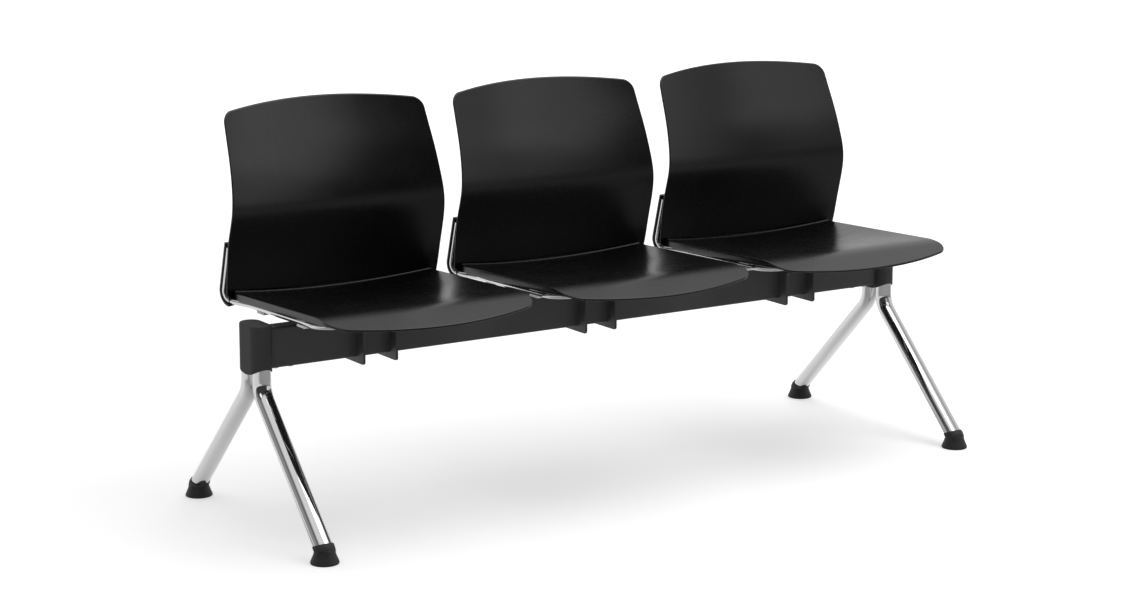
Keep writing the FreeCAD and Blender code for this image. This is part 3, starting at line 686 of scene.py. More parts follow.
def channel_section(side):
    """A groove in plan, as offsets outwards and to the rear of the rod in mm: out along the front
    wall and back to the inner wall, round the rod, and out along the rear wall to its rounded
    free edge."""
    return np.array(CHANNEL_OUTLINE) * MM * np.array([side, 1])


def channel_route(centre, side):
    """Down beside the rod's upright and round its heel, with a short lead along the side run."""
    places = [(centre + side * ROD_X, y + BEAM_Y, z) for y, z in (ROD_TOP, ROD_HEEL)]
    top, heel = np.array(places)
    up = (top - heel) / np.linalg.norm(top - heel)
    top = heel + up * (CHANNEL_TOP - ROD_HEEL[1]) / up[2]
    ahead = np.array([-side * (ROD_X - ROD_RUN_X), ROD_REAR[0] - ROD_HEEL[0],
                      ROD_REAR[1] - ROD_HEEL[1]])
    ahead /= np.linalg.norm(ahead)
    return bent_route([top, heel, heel + ahead * CHANNEL_LEAD], ROD_BENDS[:1], arc_step=5)


print("channel section has", len(CHANNEL_OUTLINE), "points")

# %% [markdown]
# The section's first point is the front corner of the inner wall. It is moved onto the panel's
# own curve, just behind its front face, so that the channel and the panel are one piece.

# %% Build the channels
PANEL_BITE, PANEL_MARGIN = 2.5 * MM, 2 * MM


def channel_loops(centre, side):
    """The groove carried down the route. Rear offsets point to the rear of the route in its own
    plane, and the inner wall's front corner is set 2.5 mm behind the panel's front face."""
    route = channel_route(centre, side)
    tangent = tangents(route)
    across = np.array([1.0, 0, 0]) - tangent * tangent[:, :1]
    across /= np.linalg.norm(across, axis=1, keepdims=True)
    loops = placed_section(route, channel_section(side), across, np.cross(across, tangent))
    inner = loops[:, :1]
    front = back_depth(inner[..., 0] - centre, np.maximum(inner[..., 2], BACK_BOTTOM))
    on_panel = inner[..., 2] > BACK_BOTTOM + PANEL_MARGIN
    inner[..., 1] = np.where(on_panel, front + BEAM_Y + PANEL_BITE, inner[..., 1])
    return loops


for number, centre in enumerate(SEAT_CENTRES, 1):
    for side_name, side in SIDES:
        name = "channel_%s_%d" % (side_name, number)
        fit(loops_to_object(name, channel_loops(centre, side), 30), "shell_plastic")

# %% [markdown]
# ## Legs
# Each leg is an oval tube that leaves the cap upright and bends once, by 45 degrees, to its foot.
# The wide side of the oval lies along the beam. The same sweep makes it, with an oval section.

# %% Build the legs
LEG_BEND_Z, LEG_TOP_Z, LEG_OFFSET = 275.5 * MM, 402 * MM, 24 * MM
LEG_HALF_WIDE, LEG_HALF_THIN = 19 * MM, 15 * MM
LEG_BEND_RADIUS = 55 * MM
LEG_END_Z, LEG_END_BACK = 9 * MM, 15 * MM


def leg_corners(x, side):
    """Top of the tube, the corner its axes meet in, and the lower end inside the foot."""
    down = (LEG_BEND_Z - LEG_END_Z) - LEG_END_BACK * math.cos(math.radians(45))
    upright = side * LEG_OFFSET + BEAM_Y
    return [(x, upright, LEG_TOP_Z), (x, upright, LEG_BEND_Z),
            (x, side * (LEG_OFFSET + down) + BEAM_Y, LEG_BEND_Z - down)]


for end_name, end in SIDES:
    for depth_name, depth in DEPTHS:
        route = bent_route(leg_corners(end * LEG_X, depth), [LEG_BEND_RADIUS],
                           spacing=12 * MM, arc_step=2.5)
        loops = sweep(route, oval(LEG_HALF_WIDE, LEG_HALF_THIN, 72), (1, 0, 0))
        name = "%s_%s" % (depth_name, end_name)
        fit(loops_to_object("tube_" + name, loops), "leg_chrome", "leg_" + name)

# %% [markdown]
# ## Feet
# A foot is a round boot with a short collar that grips the tube. The boot is a turned profile,
# which is what the Screw modifier makes too. As a formula its points stay even all round.

# %% Boot
FOOT_Y = 273.5 * MM
BOOT_PROFILE = [(4, 0), (25.6, 0), (26.6, 0.25), (27.3, 0.9), (27.5, 1.8), (27.5, 3.2),
                (27.0, 4.8), (25.6, 8.0), (23.6, 12.5), (21.9, 17.0), (20.3, 22.0),
                (19.2, 26.0), (18.2, 28.6), (16.6, 29.8), (14.6, 30.0), (4, 30.0)]


def turned(profile, centre, count=72):
    """Loops round an upright axis: each profile point's radius times cosine and sine, at its
    height."""
    radius, height = np.array(profile, float).T * MM
    angle = np.linspace(0, 2 * np.pi, count, endpoint=False)
    loops = np.stack([radius[:, None] * np.cos(angle), radius[:, None] * np.sin(angle),
                      np.repeat(height[:, None], count, axis=1)], axis=-1)
    return loops + np.array(centre)


print("boot profile has", len(BOOT_PROFILE), "points")

# %% [markdown]
# The collar is a sleeve along the tube. It swells a little below and draws in at its rounded
# mouth, and the mouth is turned slightly to the level, as a mould with a flat rim leaves it.

# %% Collar
RIM_LEVEL = 0.4
COLLAR_STEPS = [0.0, 6, 12, 16, 18.4, 19.6, 20, 20, 19.6, 18, 10]
COLLAR_GROWTH = [0.6, 1.7, 2.2, 2.1, 1.9, 1.6, 1.2, 0.8, 0.45, 0.3, 0.3]


def collar_loops(low, side):
    """Ovals along the leg from its lower end. Each is the tube's oval plus its growth in mm, and
    is tipped towards the level by its share of the way to the mouth."""
    up = np.array([0, -side * math.sqrt(0.5), math.sqrt(0.5)])
    steps = np.array(COLLAR_STEPS) * MM
    grow = np.array(COLLAR_GROWTH) * MM
    half = np.stack([LEG_HALF_WIDE + grow, LEG_HALF_THIN + grow], axis=-1)
    section = oval(1, 1, 72)[None] * half[:, None]
    across = np.cross(up, (1, 0, 0))
    route = low + up * steps[:, None]
    loops = (route[:, None] + section[..., :1] * np.array([1, 0, 0])
             + section[..., 1:] * across)
    share = (steps / steps.max())[:, None, None]
    return loops - up * (section[..., 1:] * np.sign(across[2]) * RIM_LEVEL * share)


print("collar has", len(COLLAR_STEPS), "loops")

# %% [markdown]
# Boot and collar overlap where they meet, as one moulding does. Each leg gets one of both, and
# the boot stands for the construction's foot.

# %% Build the feet
for end_name, end in SIDES:
    for depth_name, depth in DEPTHS:
        name = "%s_%s" % (depth_name, end_name)
        boot = turned(BOOT_PROFILE, (end * LEG_X, depth * FOOT_Y + BEAM_Y, 0))
        fit(loops_to_object("boot_" + name, boot, 50), "foot_plastic", "foot_" + name)
        collar = collar_loops(np.array(leg_corners(end * LEG_X, depth)[2]), depth)
        fit(loops_to_object("collar_" + name, collar, 50), "foot_plastic")

# %% [markdown]
# ## End caps
# A cap is a moulded sleeve over the tops of two legs, with round ends in front and behind. Its
# top edge is rounded, and its lower edge is lowest in the middle and rises in a shallow arc to
# the front and the rear. The pen line makes it in one piece, and the arc is added to the height
# of the rim.

# %% Pen line of an end cap
CAP_ROUND, CAP_HALF_STRAIGHT = 22.3, 20
CAP_TOP, CAP_RIM, CAP_SCOOP = 408 * MM, 310 * MM, 13 * MM
CAP_EDGE, CAP_WALL, CAP_CEILING = 3.5 * MM, 2 * MM, 3 * MM
CAP_LIP_WIDE, CAP_LIP_DEEP = 1.0 * MM, 0.8 * MM


def cap_outline():
    """Two half circles with their middles 40 mm apart, joined by straight sides. It is worked out
    in millimetres and scaled at the end."""
    turn = np.linspace(-np.pi, 0, 50)
    front = np.column_stack([CAP_ROUND * np.cos(turn),
                             CAP_ROUND * np.sin(turn) - CAP_HALF_STRAIGHT])
    y = np.linspace(-CAP_HALF_STRAIGHT, CAP_HALF_STRAIGHT, 16)[1:-1]
    right = np.column_stack([np.full(len(y), CAP_ROUND), y])
    return np.concatenate([front, right, -front, -right]) * MM


def cap_loops():
    """Over the top from its middle, round a 3.5 mm edge, down the wall to the scooped rim, round
    it, up inside to a ceiling 3 mm under the top and back to the middle. The rim is an arc of a
    circle that rises by the scoop over the cap's half depth."""
    outline = cap_outline()
    out = outward(outline)
    reach = (CAP_ROUND + CAP_HALF_STRAIGHT) * MM
    scoop_radius = (reach ** 2 + CAP_SCOOP ** 2) / (2 * CAP_SCOOP)
    rim = CAP_RIM + scoop_radius - np.sqrt(scoop_radius ** 2 - outline[:, 1] ** 2)
    lip = rim + CAP_LIP_DEEP
    inner = outline - out * CAP_EDGE
    inside = outline - out * CAP_WALL
    rows = [lifted(inner * share, CAP_TOP) for share in (0.05, 0.3, 0.6, 0.85, 0.97, 1.0)]
    for angle in np.radians([12, 24, 36, 48, 60, 72, 84, 90]):
        plan = inner + out * CAP_EDGE * math.sin(angle)
        rows.append(lifted(plan, CAP_TOP - CAP_EDGE * (1 - math.cos(angle))))
    for share in (0.02, 0.25, 0.5, 0.75, 0.98):
        rows.append(lifted(outline, (CAP_TOP - CAP_EDGE) * (1 - share) + lip * share))
    for angle in np.radians([0, 30, 60, 90, 120, 150, 180]):
        plan = outline - out * CAP_LIP_WIDE * (1 - math.cos(angle))
        rows.append(lifted(plan, rim + CAP_LIP_DEEP * (1 - math.sin(angle))))
    rows += [lifted(inside * share, CAP_TOP - CAP_CEILING) for share in (1.0, 0.6, 0.05)]
    return np.array(rows)


print("cap outline has", len(cap_outline()), "points")

# %% [markdown]
# The cap is alike on both sides, so the second is the first one moved and needs no mirroring.

# %% Build the end caps
for end_name, end in SIDES:
    placed = cap_loops() + np.array([end * LEG_X, BEAM_Y, 0])
    fit(loops_to_object("cap_" + end_name, placed, 40), "cap_plastic", "end_cap_" + end_name)

# %% [markdown]
# ## The beam
# The beam is a stock rectangular tube, 80 mm high and 40 mm deep, with rounded edges. A cube with
# a Bevel would give it too. As a sweep it has loops along its length like every other piece here.

# %% Build the beam
BEAM_HALF = 749 * MM
beam_x = np.linspace(-BEAM_HALF, BEAM_HALF, 60)
beam_middle = (BEAM_BOTTOM + BEAM_TOP) / 2
beam_route = lifted(np.column_stack([beam_x, np.full(len(beam_x), BEAM_Y)]), beam_middle)
beam_loops = sweep(beam_route, box_section(20 * MM, 40 * MM, 4 * MM), (0, 1, 0))
fit(loops_to_object("beam_tube", beam_loops), "beam_paint", "beam")

# %% [markdown]
# ## Brackets
# Under each seat two plates straddle the beam, with a bridge on top of it. Under the beam only
# the plates' lower corners show. A laser-cut plate has a small broken edge, so its outline is
# inset a little at both faces. The face itself is flat, so it is one face of many corners.

# %% Outline and loops of a plate
PLATE_X = 36.6 * MM
PLATE_CORNERS = [(-45, 306.5), (45, 306.5), (45, 379), (75, 390.6), (75, 400.6), (33, 404),
                 (-28, 404), (-170, 435.3), (-215, 435.3), (-215, 415.3), (-45, 379)]
PLATE_RADII = [6, 6, 8, 3, 3, 4, 6, 6, 4, 4, 10]
PLATE_STEPS = [(-2.5, 0.5), (-2.36, 0.15), (-2.0, 0), (2.0, 0), (2.36, 0.15), (2.5, 0.5)]


def plate_outline():
    """Side view of a plate, from its lower front corner round, with a radius at each corner."""
    points = np.array(PLATE_CORNERS) * MM
    sides = [np.array([a, b]) for a, b in zip(points, np.roll(points, -1, axis=0))]
    radii = list(np.array(PLATE_RADII) * MM)
    return rounded_loop(sides, radii, [12] * len(sides), corner_count=8)


def plate_loops(x):
    """The outline at six places across the 5 mm thickness, inset by up to 0.5 mm at the faces."""
    outline = plate_outline()
    out = outward(outline)
    rows = []
    for across, inset in PLATE_STEPS:
        plan = outline - out * inset * MM
        place = np.full(len(plan), x + across * MM)
        rows.append(np.column_stack([place, plan[:, 0] + BEAM_Y, plan[:, 1]]))
    return np.array(rows)


print("plate outline has", len(plate_outline()), "points")

# %% [markdown]
# The bridge is a short flat bar between the plates. It is swept like the beam, with a smaller
# section. One plate of each pair stands for the construction's whole bracket.

# %% Build the brackets
BRIDGE_HALF, BRIDGE_RISE = 34.1, 2.5 * MM


def bridge_loops(centre):
    """The bridge: a thin rounded rectangle in side view, carried from plate to plate."""
    x = np.linspace(-BRIDGE_HALF, BRIDGE_HALF, 12) * MM + centre
    route = lifted(np.column_stack([x, np.full(len(x), BEAM_Y)]), BEAM_TOP + BRIDGE_RISE)
    return sweep(route, box_section(28 * MM, BRIDGE_RISE, 0.8 * MM), (0, 1, 0))


for number, centre in enumerate(SEAT_CENTRES, 1):
    for side_name, side in SIDES:
        loops = plate_loops(centre + side * PLATE_X)
        plate = faced_object("plate_%s_%d" % (side_name, number), loops, 40)
        fit(plate, "bracket_paint", *(["bracket_%d" % number] if side < 0 else []))
    fit(loops_to_object("bridge_%d" % number, bridge_loops(centre)), "bracket_paint")

# %% [markdown]
# ## Finishes
# The looks come from a few effects that several finishes share: a fine mould grain, a slow wander
# of tone with faint smudges, and fine scratches. Photographs of plastic and chrome could be
# wrapped on instead, but a pattern worked out from noise has no seam and stays sharp close up.
# Each effect is built once as a node group with named inputs, and each finish sets its own
# amounts. Patterns are read in object coordinates, so they stay on the piece.

# %% Start a node group
FLOAT, VECTOR = "NodeSocketFloat", "NodeSocketVector"


def new_group(name, inputs, outputs):
    """An empty shader group with a vector input, float inputs with their defaults, and float
    outputs; returns it with its inner input and output nodes."""
    group = bpy.data.node_groups.new(name, "ShaderNodeTree")
    group.interface.new_socket("Vector", in_out="INPUT", socket_type=VECTOR)
    for title, default in inputs:
        socket = group.interface.new_socket(title, in_out="INPUT", socket_type=FLOAT)
        socket.default_value = default
    for title in outputs:
        group.interface.new_socket(title, in_out="OUTPUT", socket_type=FLOAT)
    return group, group.nodes.new("NodeGroupInput"), group.nodes.new("NodeGroupOutput")


print("node groups so far", len(bpy.data.node_groups))

# %% [markdown]
# A node tree is clearer as a formula. These helpers add one node each and hand back its output,
# so that they can be written inside one another.

# %% Node helpers
def feed(tree, value, socket):
    """Link a socket to a node's input, or type a number into it."""
    if isinstance(value, bpy.types.NodeSocket):
        tree.links.new(value, socket)
    elif value is not None:
        socket.default_value = value


def maths(tree, operation, a, b=None, clamp=False):
    """A Math node between two sockets or numbers; returns its result socket."""
    node = tree.nodes.new("ShaderNodeMath")
    node.operation = operation
    node.use_clamp = clamp
    feed(tree, a, node.inputs[0])
    feed(tree, b, node.inputs[1])
    return node.outputs[0]


def noise(tree, vector, scale, detail=2.0, rough=0.5):
    """A Noise node read at a vector; returns its grey value."""
    node = tree.nodes.new("ShaderNodeTexNoise")
    settings = (("Vector", vector), ("Scale", scale), ("Detail", detail), ("Roughness", rough))
    for title, value in settings:
        feed(tree, value, node.inputs[title])
    return node.outputs["Fac"]


def placed_group(tree, group, vector, values=()):
    """A group node read at a vector, with (input, number) pairs typed in; returns its outputs."""
    node = tree.nodes.new("ShaderNodeGroup")
    node.node_tree = group
    tree.links.new(vector, node.inputs["Vector"])
    for title, value in values:
        node.inputs[title].default_value = value
    return node.outputs


print("node helpers ready")

# %% [markdown]
# ### Mould grain
# The grain is two layers: cells a fraction of a millimetre wide, which a mould's etched wall
# leaves, and a softer noise over them. It puts out a height for a Bump node. Cutting such a grain
# into the mesh would need millions of faces.

# %% Mould grain group
CELL_SHARE, SOFT_SHARE = 0.7, 0.6

grain_group, inside, outside = new_group(
    "Mould grain", [("Cells per metre", 900.0), ("Softness", 0.5)], ["Height"])
cells = grain_group.nodes.new("ShaderNodeTexVoronoi")
cells.feature = "SMOOTH_F1"
for source, target in (("Vector", "Vector"), ("Cells per metre", "Scale"),
                       ("Softness", "Smoothness")):
    grain_group.links.new(inside.outputs[source], cells.inputs[target])
soft = noise(grain_group, inside.outputs["Vector"], inside.outputs["Cells per metre"], 3.0)
height = maths(grain_group, "ADD",
               maths(grain_group, "MULTIPLY", cells.outputs["Distance"], CELL_SHARE),
               maths(grain_group, "MULTIPLY", soft, SOFT_SHARE))
grain_group.links.new(height, outside.inputs["Height"])
print("grain group has", len(grain_group.nodes), "nodes")

# %% [markdown]
# ### Smudges
# Handled surfaces are never even. This group has a slow wander, for the colour, and finger-sized
# patches, for the gloss. A patch is where a noise rises over a level, which the cover lowers, so
# its value is nought on clean places and one in the middle of a patch.

# %% Smudge group
WANDER_SCALE = 2.3
LEVEL_SHARE, PATCH_EDGE = 0.75, 4.0

smudge_group, inside, outside = new_group(
    "Smudges", [("Patches per metre", 9.0), ("Cover", 0.5)], ["Patch", "Wander"])
wander = noise(smudge_group, inside.outputs["Vector"], WANDER_SCALE, 3.0, 0.6)
patch = noise(smudge_group, inside.outputs["Vector"], inside.outputs["Patches per metre"],
              5.0, 0.62)
level = maths(smudge_group, "SUBTRACT", 1.0, inside.outputs["Cover"])
raised = maths(smudge_group, "SUBTRACT", patch,
               maths(smudge_group, "MULTIPLY", level, LEVEL_SHARE))
mask = maths(smudge_group, "MULTIPLY", raised, PATCH_EDGE, clamp=True)
smudge_group.links.new(mask, outside.inputs["Patch"])
smudge_group.links.new(wander, outside.inputs["Wander"])
print("smudge group has", len(smudge_group.nodes), "nodes")

# %% [markdown]
# ### Fine scratches
# Wiping leaves long fine lines in a polished tube. They are a noise that changes quickly across
# one direction and slowly along it, and a high threshold keeps only a few of them. Drawn lines
# would have to be laid out on each piece.

# %% Scratch group
LINE_THRESHOLD, LINE_EDGE = 0.68, 9.0

scratch_group, inside, outside = new_group(
    "Fine scratches", [("Lines per metre", 260.0), ("Length", 0.05)], ["Line"])
dense = inside.outputs["Lines per metre"]
sparse = maths(scratch_group, "MULTIPLY", dense, inside.outputs["Length"])
squeeze = scratch_group.nodes.new("ShaderNodeCombineXYZ")
for axis, value in (("X", dense), ("Y", sparse), ("Z", dense)):
    scratch_group.links.new(value, squeeze.inputs[axis])
stretched = scratch_group.nodes.new("ShaderNodeVectorMath")
stretched.operation = "MULTIPLY"
scratch_group.links.new(inside.outputs["Vector"], stretched.inputs[0])
scratch_group.links.new(squeeze.outputs["Vector"], stretched.inputs[1])
lines = noise(scratch_group, stretched.outputs["Vector"], 1.0, 1.0)
above = maths(scratch_group, "SUBTRACT", lines, LINE_THRESHOLD)
few = maths(scratch_group, "MULTIPLY", above, LINE_EDGE, clamp=True)
scratch_group.links.new(few, outside.inputs["Line"])
print("scratch group has", len(scratch_group.nodes), "nodes")

# %% [markdown]
# ## Materials
# A finish is a Principled shader fed by the groups: the wander shifts the colour a little,
# patches and scratches change the roughness, and the grain gives the bump. Only these masks are
# linked. What is the same all over a piece is typed into the shader's own socket.

# %% Finish builder
def finish(name, colour, roughness, metal=0.0, specular=0.5, tone=0.12, patch_rough=0.06,
           cells=900.0, grain=0.02, depth=0.06, patches=9.0, cover=0.45, scratches=0.0):
    """tone: share by which the colour wanders. patch_rough: roughness added in patches. cells:
    grains per metre. grain: strength of the bump, and depth: its height in millimetres. patches
    and cover: smudges per metre and their share. scratches: roughness added in the lines."""
    made = bpy.data.materials.new(name)
    made.use_nodes = True
    tree = made.node_tree
    shader = tree.nodes["Principled BSDF"]
    place = tree.nodes.new("ShaderNodeTexCoord").outputs["Object"]
    smudges = placed_group(tree, smudge_group, place,
                           (("Patches per metre", patches), ("Cover", cover)))
    grains = placed_group(tree, grain_group, place, [("Cells per metre", cells)])

    mix = tree.nodes.new("ShaderNodeMix")
    mix.data_type = "RGBA"
    mix.inputs["A"].default_value = (*[c * (1 - tone) for c in colour], 1)
    mix.inputs["B"].default_value = (*[min(1, c * (1 + tone)) for c in colour], 1)
    tree.links.new(smudges["Wander"], mix.inputs["Factor"])
    tree.links.new(mix.outputs["Result"], shader.inputs["Base Color"])

    rough = maths(tree, "ADD", maths(tree, "MULTIPLY", smudges["Patch"], patch_rough), roughness)
    if scratches:
        line = placed_group(tree, scratch_group, place)["Line"]
        rough = maths(tree, "ADD", rough, maths(tree, "MULTIPLY", line, scratches))
    tree.links.new(rough, shader.inputs["Roughness"])
    shader.inputs["Metallic"].default_value = metal
    shader.inputs["Specular IOR Level"].default_value = specular

    bump = tree.nodes.new("ShaderNodeBump")
    bump.inputs["Strength"].default_value = grain
    bump.inputs["Distance"].default_value = depth * MM
    tree.links.new(grains["Height"], bump.inputs["Height"])
    tree.links.new(bump.outputs["Normal"], shader.inputs["Normal"])
    print(name, "roughness", roughness, "bump", grain)
    return made


# %% [markdown]
# The shells are black plastic from a finely etched mould, so they shine softly. The beam and the
# brackets have a charcoal powder coat with its slight orange peel. The caps and feet are moulded
# in a matter plastic, and the clips under the seats in pale nylon. All of them are one builder's
# work with other numbers, because plastic and paint differ in tone, gloss and grain only.

# %% The plastics and paints
PAINT = dict(tone=0.1, cells=650, grain=0.35, depth=0.05, patch_rough=0.08)
finishes = {
    "shell_plastic": finish("Black shell plastic", (0.0015, 0.0015, 0.0017), 0.25, tone=0.3,
                            cells=1500, grain=0.12, depth=0.03, patch_rough=0.04,
                            scratches=0.02),
    "beam_paint": finish("Charcoal powder coat", (0.060, 0.060, 0.061), 0.46, **PAINT),
    "bracket_paint": finish("Charcoal bracket coat", (0.052, 0.052, 0.053), 0.45, **PAINT),
    "cap_plastic": finish("Cap plastic", (0.058, 0.058, 0.059), 0.55, specular=0.1, tone=0.12,
                          cells=1200, grain=0.4, depth=0.05, patch_rough=0.06),
    "foot_plastic": finish("Foot plastic", (0.022, 0.022, 0.022), 0.55, tone=0.15, cells=900,
                           grain=0.4, depth=0.06, patch_rough=0.08),
    "clip_plastic": finish("Natural nylon clip", (0.84, 0.83, 0.80), 0.45, tone=0.15,
                           cells=1200, grain=0.3, depth=0.04),
}

# %% [markdown]
# Rods and legs are polished chrome, the leg heads inside the beam bare steel, and the fasteners
# zinc. Metal is the same shader with its Metallic turned up: its colour then tints what it
# mirrors. Chrome is nearly smooth, and its smudges and scratches are what makes it look handled.

# %% The metals
finishes |= {
    "leg_chrome": finish("Polished chrome tube", (0.72, 0.715, 0.72), 0.05, metal=1.0,
                         tone=0.02, cells=200, grain=0.04, depth=0.03, patch_rough=0.05,
                         scratches=0.10),
    "rod_chrome": finish("Polished chrome rod", (0.70, 0.695, 0.70), 0.05, metal=1.0,
                         tone=0.02, cells=300, grain=0.04, depth=0.02, patch_rough=0.06,
                         scratches=0.08),
    "head_steel": finish("Bare steel", (0.42, 0.42, 0.43), 0.42, metal=1.0, tone=0.12,
                         cells=500, grain=0.3, depth=0.05, patch_rough=0.12, scratches=0.15),
    "screw_steel": finish("Zinc plate", (0.62, 0.63, 0.65), 0.3, metal=1.0, tone=0.1,
                          cells=1500, grain=0.2, depth=0.03, patch_rough=0.15, scratches=0.1),
}

# %% [markdown]
# Every new piece takes the finish that its slot names. The construction nodes that still show,
# such as screws and clips, have no slot here, so a word in their name chooses it. A node whose
# name has none of the words is a leg head, and takes bare steel.

# %% Give each piece its finish
NODE_FINISHES = (("cross_bar", "rod_chrome"), ("clips", "clip_plastic"),
                 ("screws", "screw_steel"), ("nuts", "screw_steel"), ("", "head_steel"))
dressed = 0
for thing in bpy.data.objects:
    if thing.type != "MESH":
        continue
    slot_name = thing.get("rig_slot")
    if slot_name is None:
        slot_name = next(slot for word, slot in NODE_FINISHES if word in thing.name)
    thing.data.materials.clear()
    thing.data.materials.append(finishes[slot_name])
    dressed += 1
print("pieces with a finish", dressed)

# %% [markdown]
# ## Floor
# The object stands on a white sweep in a photographer's studio. A modelled sweep would need a
# bend in the picture's back, and one wide flat sheet looks the same from above. It is staging.

# %% Floor sheet
FLOOR_HALF = 60.0

floor_points = np.array([(-1, -1), (1, -1), (1, 1), (-1, 1)], float) * FLOOR_HALF
floor_mesh = bpy.data.meshes.new("floor")
floor_mesh.from_pydata(lifted(floor_points, 0.0).tolist(), [], [(0, 1, 2, 3)])
floor = bpy.data.objects.new("floor", floor_mesh)
bpy.context.scene.collection.objects.link(floor)
print("floor", FLOOR_HALF * 2, "m wide")

# %% [markdown]
# ## White paper
# The floor is a plain diffuse white, so that the shadows of the object stay on it. To the camera
# it also glows a little, more so far away, and then reads as white paper. More lamps could make
# it as white, but they would wash out the object. Chrome and glossy seats mirror the floor, so it
# matters what a mirrored ray sees. As in the photograph, the floor behind the seats and at the
# far left is lit, and the rest is darker. A Light Path node tells the kinds of ray apart.

# %% Ramps and axes
PAPER_TONE, DARK_TONE, MIRROR_SHARE = 0.8, 0.40, 0.65
NEAR_GLOW, FAR_GLOW = 0.44, 0.83
GLOW_START, GLOW_END = 1.0, 6.0
BEHIND = (-0.5, 0.3, 0.0, 1.0)
FAR_LEFT = (-1.9, -1.3, 0.8, 0.0)


def ramp(tree, value, start, end, low, high):
    """A smooth step of a value from low to high between start and end."""
    node = tree.nodes.new("ShaderNodeMapRange")
    node.interpolation_type = "SMOOTHSTEP"
    for title, number in (("Value", value), ("From Min", start), ("From Max", end),
                          ("To Min", low), ("To Max", high)):
        feed(tree, number, node.inputs[title])
    return node.outputs["Result"]


def axes_of(tree, vector):
    """The X, Y and Z sockets of a vector."""
    split = tree.nodes.new("ShaderNodeSeparateXYZ")
    tree.links.new(vector, split.inputs[0])
    return split.outputs


print("floor glow from", NEAR_GLOW, "to", FAR_GLOW)

# %% [markdown]
# The first part of the paper is its plain tone. The lit part is worked out from the place on the
# floor, and only mirrored rays see the dim part darker.

# %% Paper tone
paper = bpy.data.materials.new("White paper")
paper.use_nodes = True
tree = paper.node_tree
tree.nodes.clear()
ray = tree.nodes.new("ShaderNodeLightPath").outputs
spot = tree.nodes.new("ShaderNodeTexCoord").outputs["Object"]
axes = axes_of(tree, spot)
lit_part = maths(tree, "MAXIMUM", ramp(tree, axes["Y"], *BEHIND),
                 ramp(tree, axes["X"], *FAR_LEFT))
dim_part = maths(tree, "SUBTRACT", 1.0, lit_part)
tone = tree.nodes.new("ShaderNodeMix")
tone.data_type = "RGBA"
tone.inputs["A"].default_value = (PAPER_TONE, PAPER_TONE, PAPER_TONE, 1)
tone.inputs["B"].default_value = (DARK_TONE, DARK_TONE, DARK_TONE, 1)
tree.links.new(maths(tree, "MULTIPLY", ray["Is Glossy Ray"], dim_part), tone.inputs["Factor"])
plain = tree.nodes.new("ShaderNodeBsdfDiffuse")
tree.links.new(tone.outputs["Result"], plain.inputs["Color"])
print("paper tones", PAPER_TONE, DARK_TONE)

# %% [markdown]
# The second part is the glow. The camera sees it whole and mirrored rays in part, and the light
# that falls on the object has none of it. Both parts are added into one surface.

# %% Paper glow
mirrored = maths(tree, "MULTIPLY", ray["Is Glossy Ray"],
                 maths(tree, "MULTIPLY", lit_part, MIRROR_SHARE))
seen = maths(tree, "MAXIMUM", ray["Is Camera Ray"], mirrored)
seen = maths(tree, "MAXIMUM", seen, ray["Is Transmission Ray"])
reach = tree.nodes.new("ShaderNodeVectorMath")
reach.operation = "LENGTH"
tree.links.new(spot, reach.inputs[0])
spread = ramp(tree, reach.outputs["Value"], GLOW_START, GLOW_END, NEAR_GLOW, FAR_GLOW)
glow = tree.nodes.new("ShaderNodeEmission")
glow.inputs["Color"].default_value = (1, 1, 1, 1)
tree.links.new(maths(tree, "MULTIPLY", seen, spread), glow.inputs["Strength"])

both = tree.nodes.new("ShaderNodeAddShader")
tree.links.new(plain.outputs[0], both.inputs[0])
tree.links.new(glow.outputs[0], both.inputs[1])
ending = tree.nodes.new("ShaderNodeOutputMaterial")
tree.links.new(both.outputs[0], ending.inputs["Surface"])
floor_mesh.materials.append(paper)
print("paper has", len(tree.nodes), "nodes")

# %% [markdown]
# ## Surroundings
# The room is bright above, behind the seats and to the right. It falls away to the left and
# behind the camera. Polished tubes need this difference, because chrome only shows what is
# around it. Modelled walls would do it too, but a world is simpler: the direction of each ray is
# turned into a brightness with smooth ramps. The camera itself sees an even light tone there,
# where it looks past the floor's edge.

# %% World
OPEN_LEVEL, CEILING_LEVEL, DARK_LEVEL = 0.95, 1.05, 0.06
RIGHT_WALL = (0.45, 0.95, 0.0, 1.0)
REAR_WALL = (-0.35, 0.30, 0.0, 1.0)
LEFT_DIMMED = (-0.75, -0.55, 0.42, 1.0)
CEILING = (0.66, 0.85, 0.0, CEILING_LEVEL / OPEN_LEVEL)

world = bpy.data.worlds.new("Studio")
bpy.context.scene.world = world
world.use_nodes = True
tree = world.node_tree
tree.nodes.clear()
axes = axes_of(tree, tree.nodes.new("ShaderNodeTexCoord").outputs["Generated"])
rear_wall = maths(tree, "MULTIPLY", ramp(tree, axes["Y"], *REAR_WALL),
                  ramp(tree, axes["X"], *LEFT_DIMMED))
walls = maths(tree, "MAXIMUM", ramp(tree, axes["X"], *RIGHT_WALL), rear_wall)
lit = maths(tree, "MAXIMUM", walls, ramp(tree, axes["Z"], *CEILING))
level = maths(tree, "MULTIPLY", lit, OPEN_LEVEL - DARK_LEVEL)
level = maths(tree, "ADD", level, DARK_LEVEL)
to_camera = tree.nodes.new("ShaderNodeLightPath").outputs["Is Camera Ray"]
level = maths(tree, "MAXIMUM", level, to_camera)
sky = tree.nodes.new("ShaderNodeBackground")
tree.links.new(level, sky.inputs["Strength"])
ending = tree.nodes.new("ShaderNodeOutputWorld")
tree.links.new(sky.outputs[0], ending.inputs["Surface"])
print("world has", len(tree.nodes), "nodes")

# %% [markdown]
# ## Lamps
# Four soft boxes light the object: a large one above, and weaker ones from the front right, the
# left and low at the right. A studio uses large lamps because the edge of a shadow is as soft as
# the lamp is wide. Point or sun lamps would draw hard shadows on the floor.

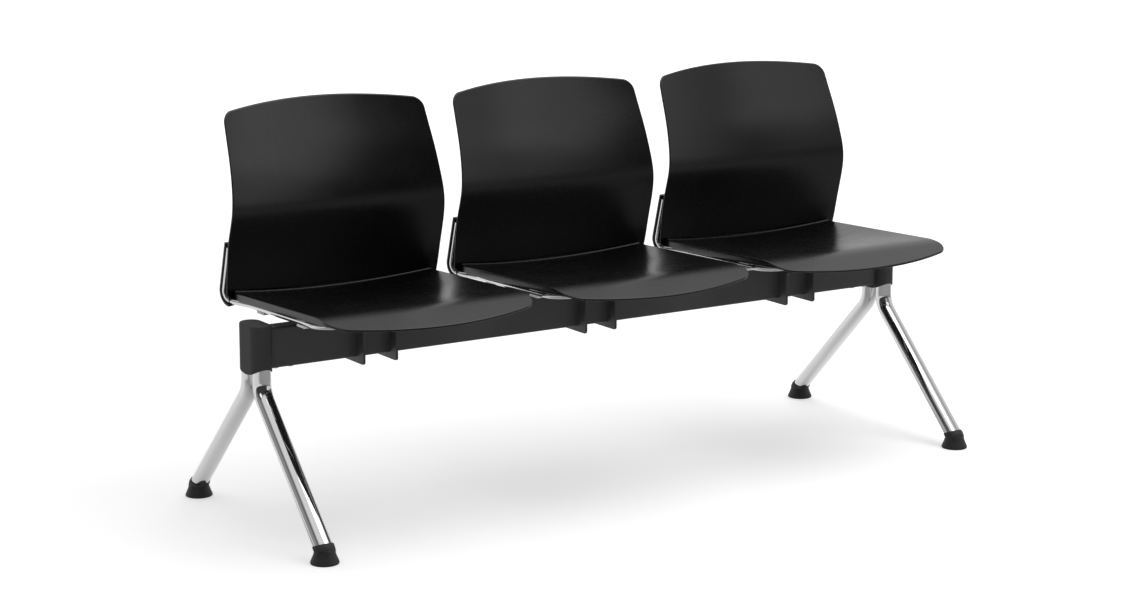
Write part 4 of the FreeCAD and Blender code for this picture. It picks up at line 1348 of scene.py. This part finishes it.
# %% Lamps
LAMPS = (("lamp_over", (1.0, -0.6, 3.1), (0.3, 0, 0.4), 2.6, 2.0, 38),
         ("lamp_front_right", (2.0, -2.6, 2.6), (0.3, 0, 0.7), 1.9, 1.1, 7),
         ("lamp_left", (-2.6, -1.6, 2.2), (-0.3, 0, 0.5), 1.0, 1.0, 4),
         ("lamp_low_right", (1.45, -2.2, 1.2), (0.75, 0.1, 0.65), 1.0, 1.2, 1.7))


def softbox(name, place, aim, width, height, watts):
    """A rectangular area lamp at a place, turned to look at a point."""
    lamp = bpy.data.lights.new(name, "AREA")
    lamp.shape = "RECTANGLE"
    lamp.size, lamp.size_y = width, height
    lamp.energy = watts
    made = bpy.data.objects.new(name, lamp)
    bpy.context.scene.collection.objects.link(made)
    made.location = place
    ahead = np.array(aim, float) - np.array(place, float)
    made.rotation_mode = "QUATERNION"
    made.rotation_quaternion = Vector(ahead).to_track_quat("-Z", "Y")


for lamp_row in LAMPS:
    softbox(*lamp_row)
    print(lamp_row[0], lamp_row[-1], "W")

# %% [markdown]
# ## Camera
# The camera stands to the left and in front of the seats, a little above them, and looks down by
# about ten degrees. It could be set by eye. Here its place, its direction and its lens were
# worked out from the straight edges of the beam and the seats and from the feet on the floor. A
# small lens shift centres the frame.

# %% Camera
CAMERA_PLACE = (-3.00930, -4.57312, 1.51188)
CAMERA_YAW, CAMERA_PITCH = math.radians(32.900), math.radians(9.681)
PICTURE_WIDTH, FOCAL_PIXELS, SHIFT_PIXELS = 1140, 2686.30, -100
SENSOR_WIDTH = 36

ahead = Vector((math.sin(CAMERA_YAW) * math.cos(CAMERA_PITCH),
                math.cos(CAMERA_YAW) * math.cos(CAMERA_PITCH), -math.sin(CAMERA_PITCH)))
right = Vector((math.cos(CAMERA_YAW), -math.sin(CAMERA_YAW), 0))
up = right.cross(ahead)
camera = bpy.data.objects.new("camera", bpy.data.cameras.new("camera"))
bpy.context.scene.collection.objects.link(camera)
rows = [(right[k], up[k], -ahead[k], CAMERA_PLACE[k]) for k in range(3)]
camera.matrix_world = Matrix((*rows, (0, 0, 0, 1)))
camera.data.sensor_width = SENSOR_WIDTH
camera.data.lens = FOCAL_PIXELS / PICTURE_WIDTH * SENSOR_WIDTH
camera.data.shift_y = SHIFT_PIXELS / PICTURE_WIDTH
camera.data.clip_end = 200
bpy.context.scene.camera = camera
bpy.context.scene.view_settings.view_transform = "Standard"
print("lens", round(camera.data.lens, 2), "mm")
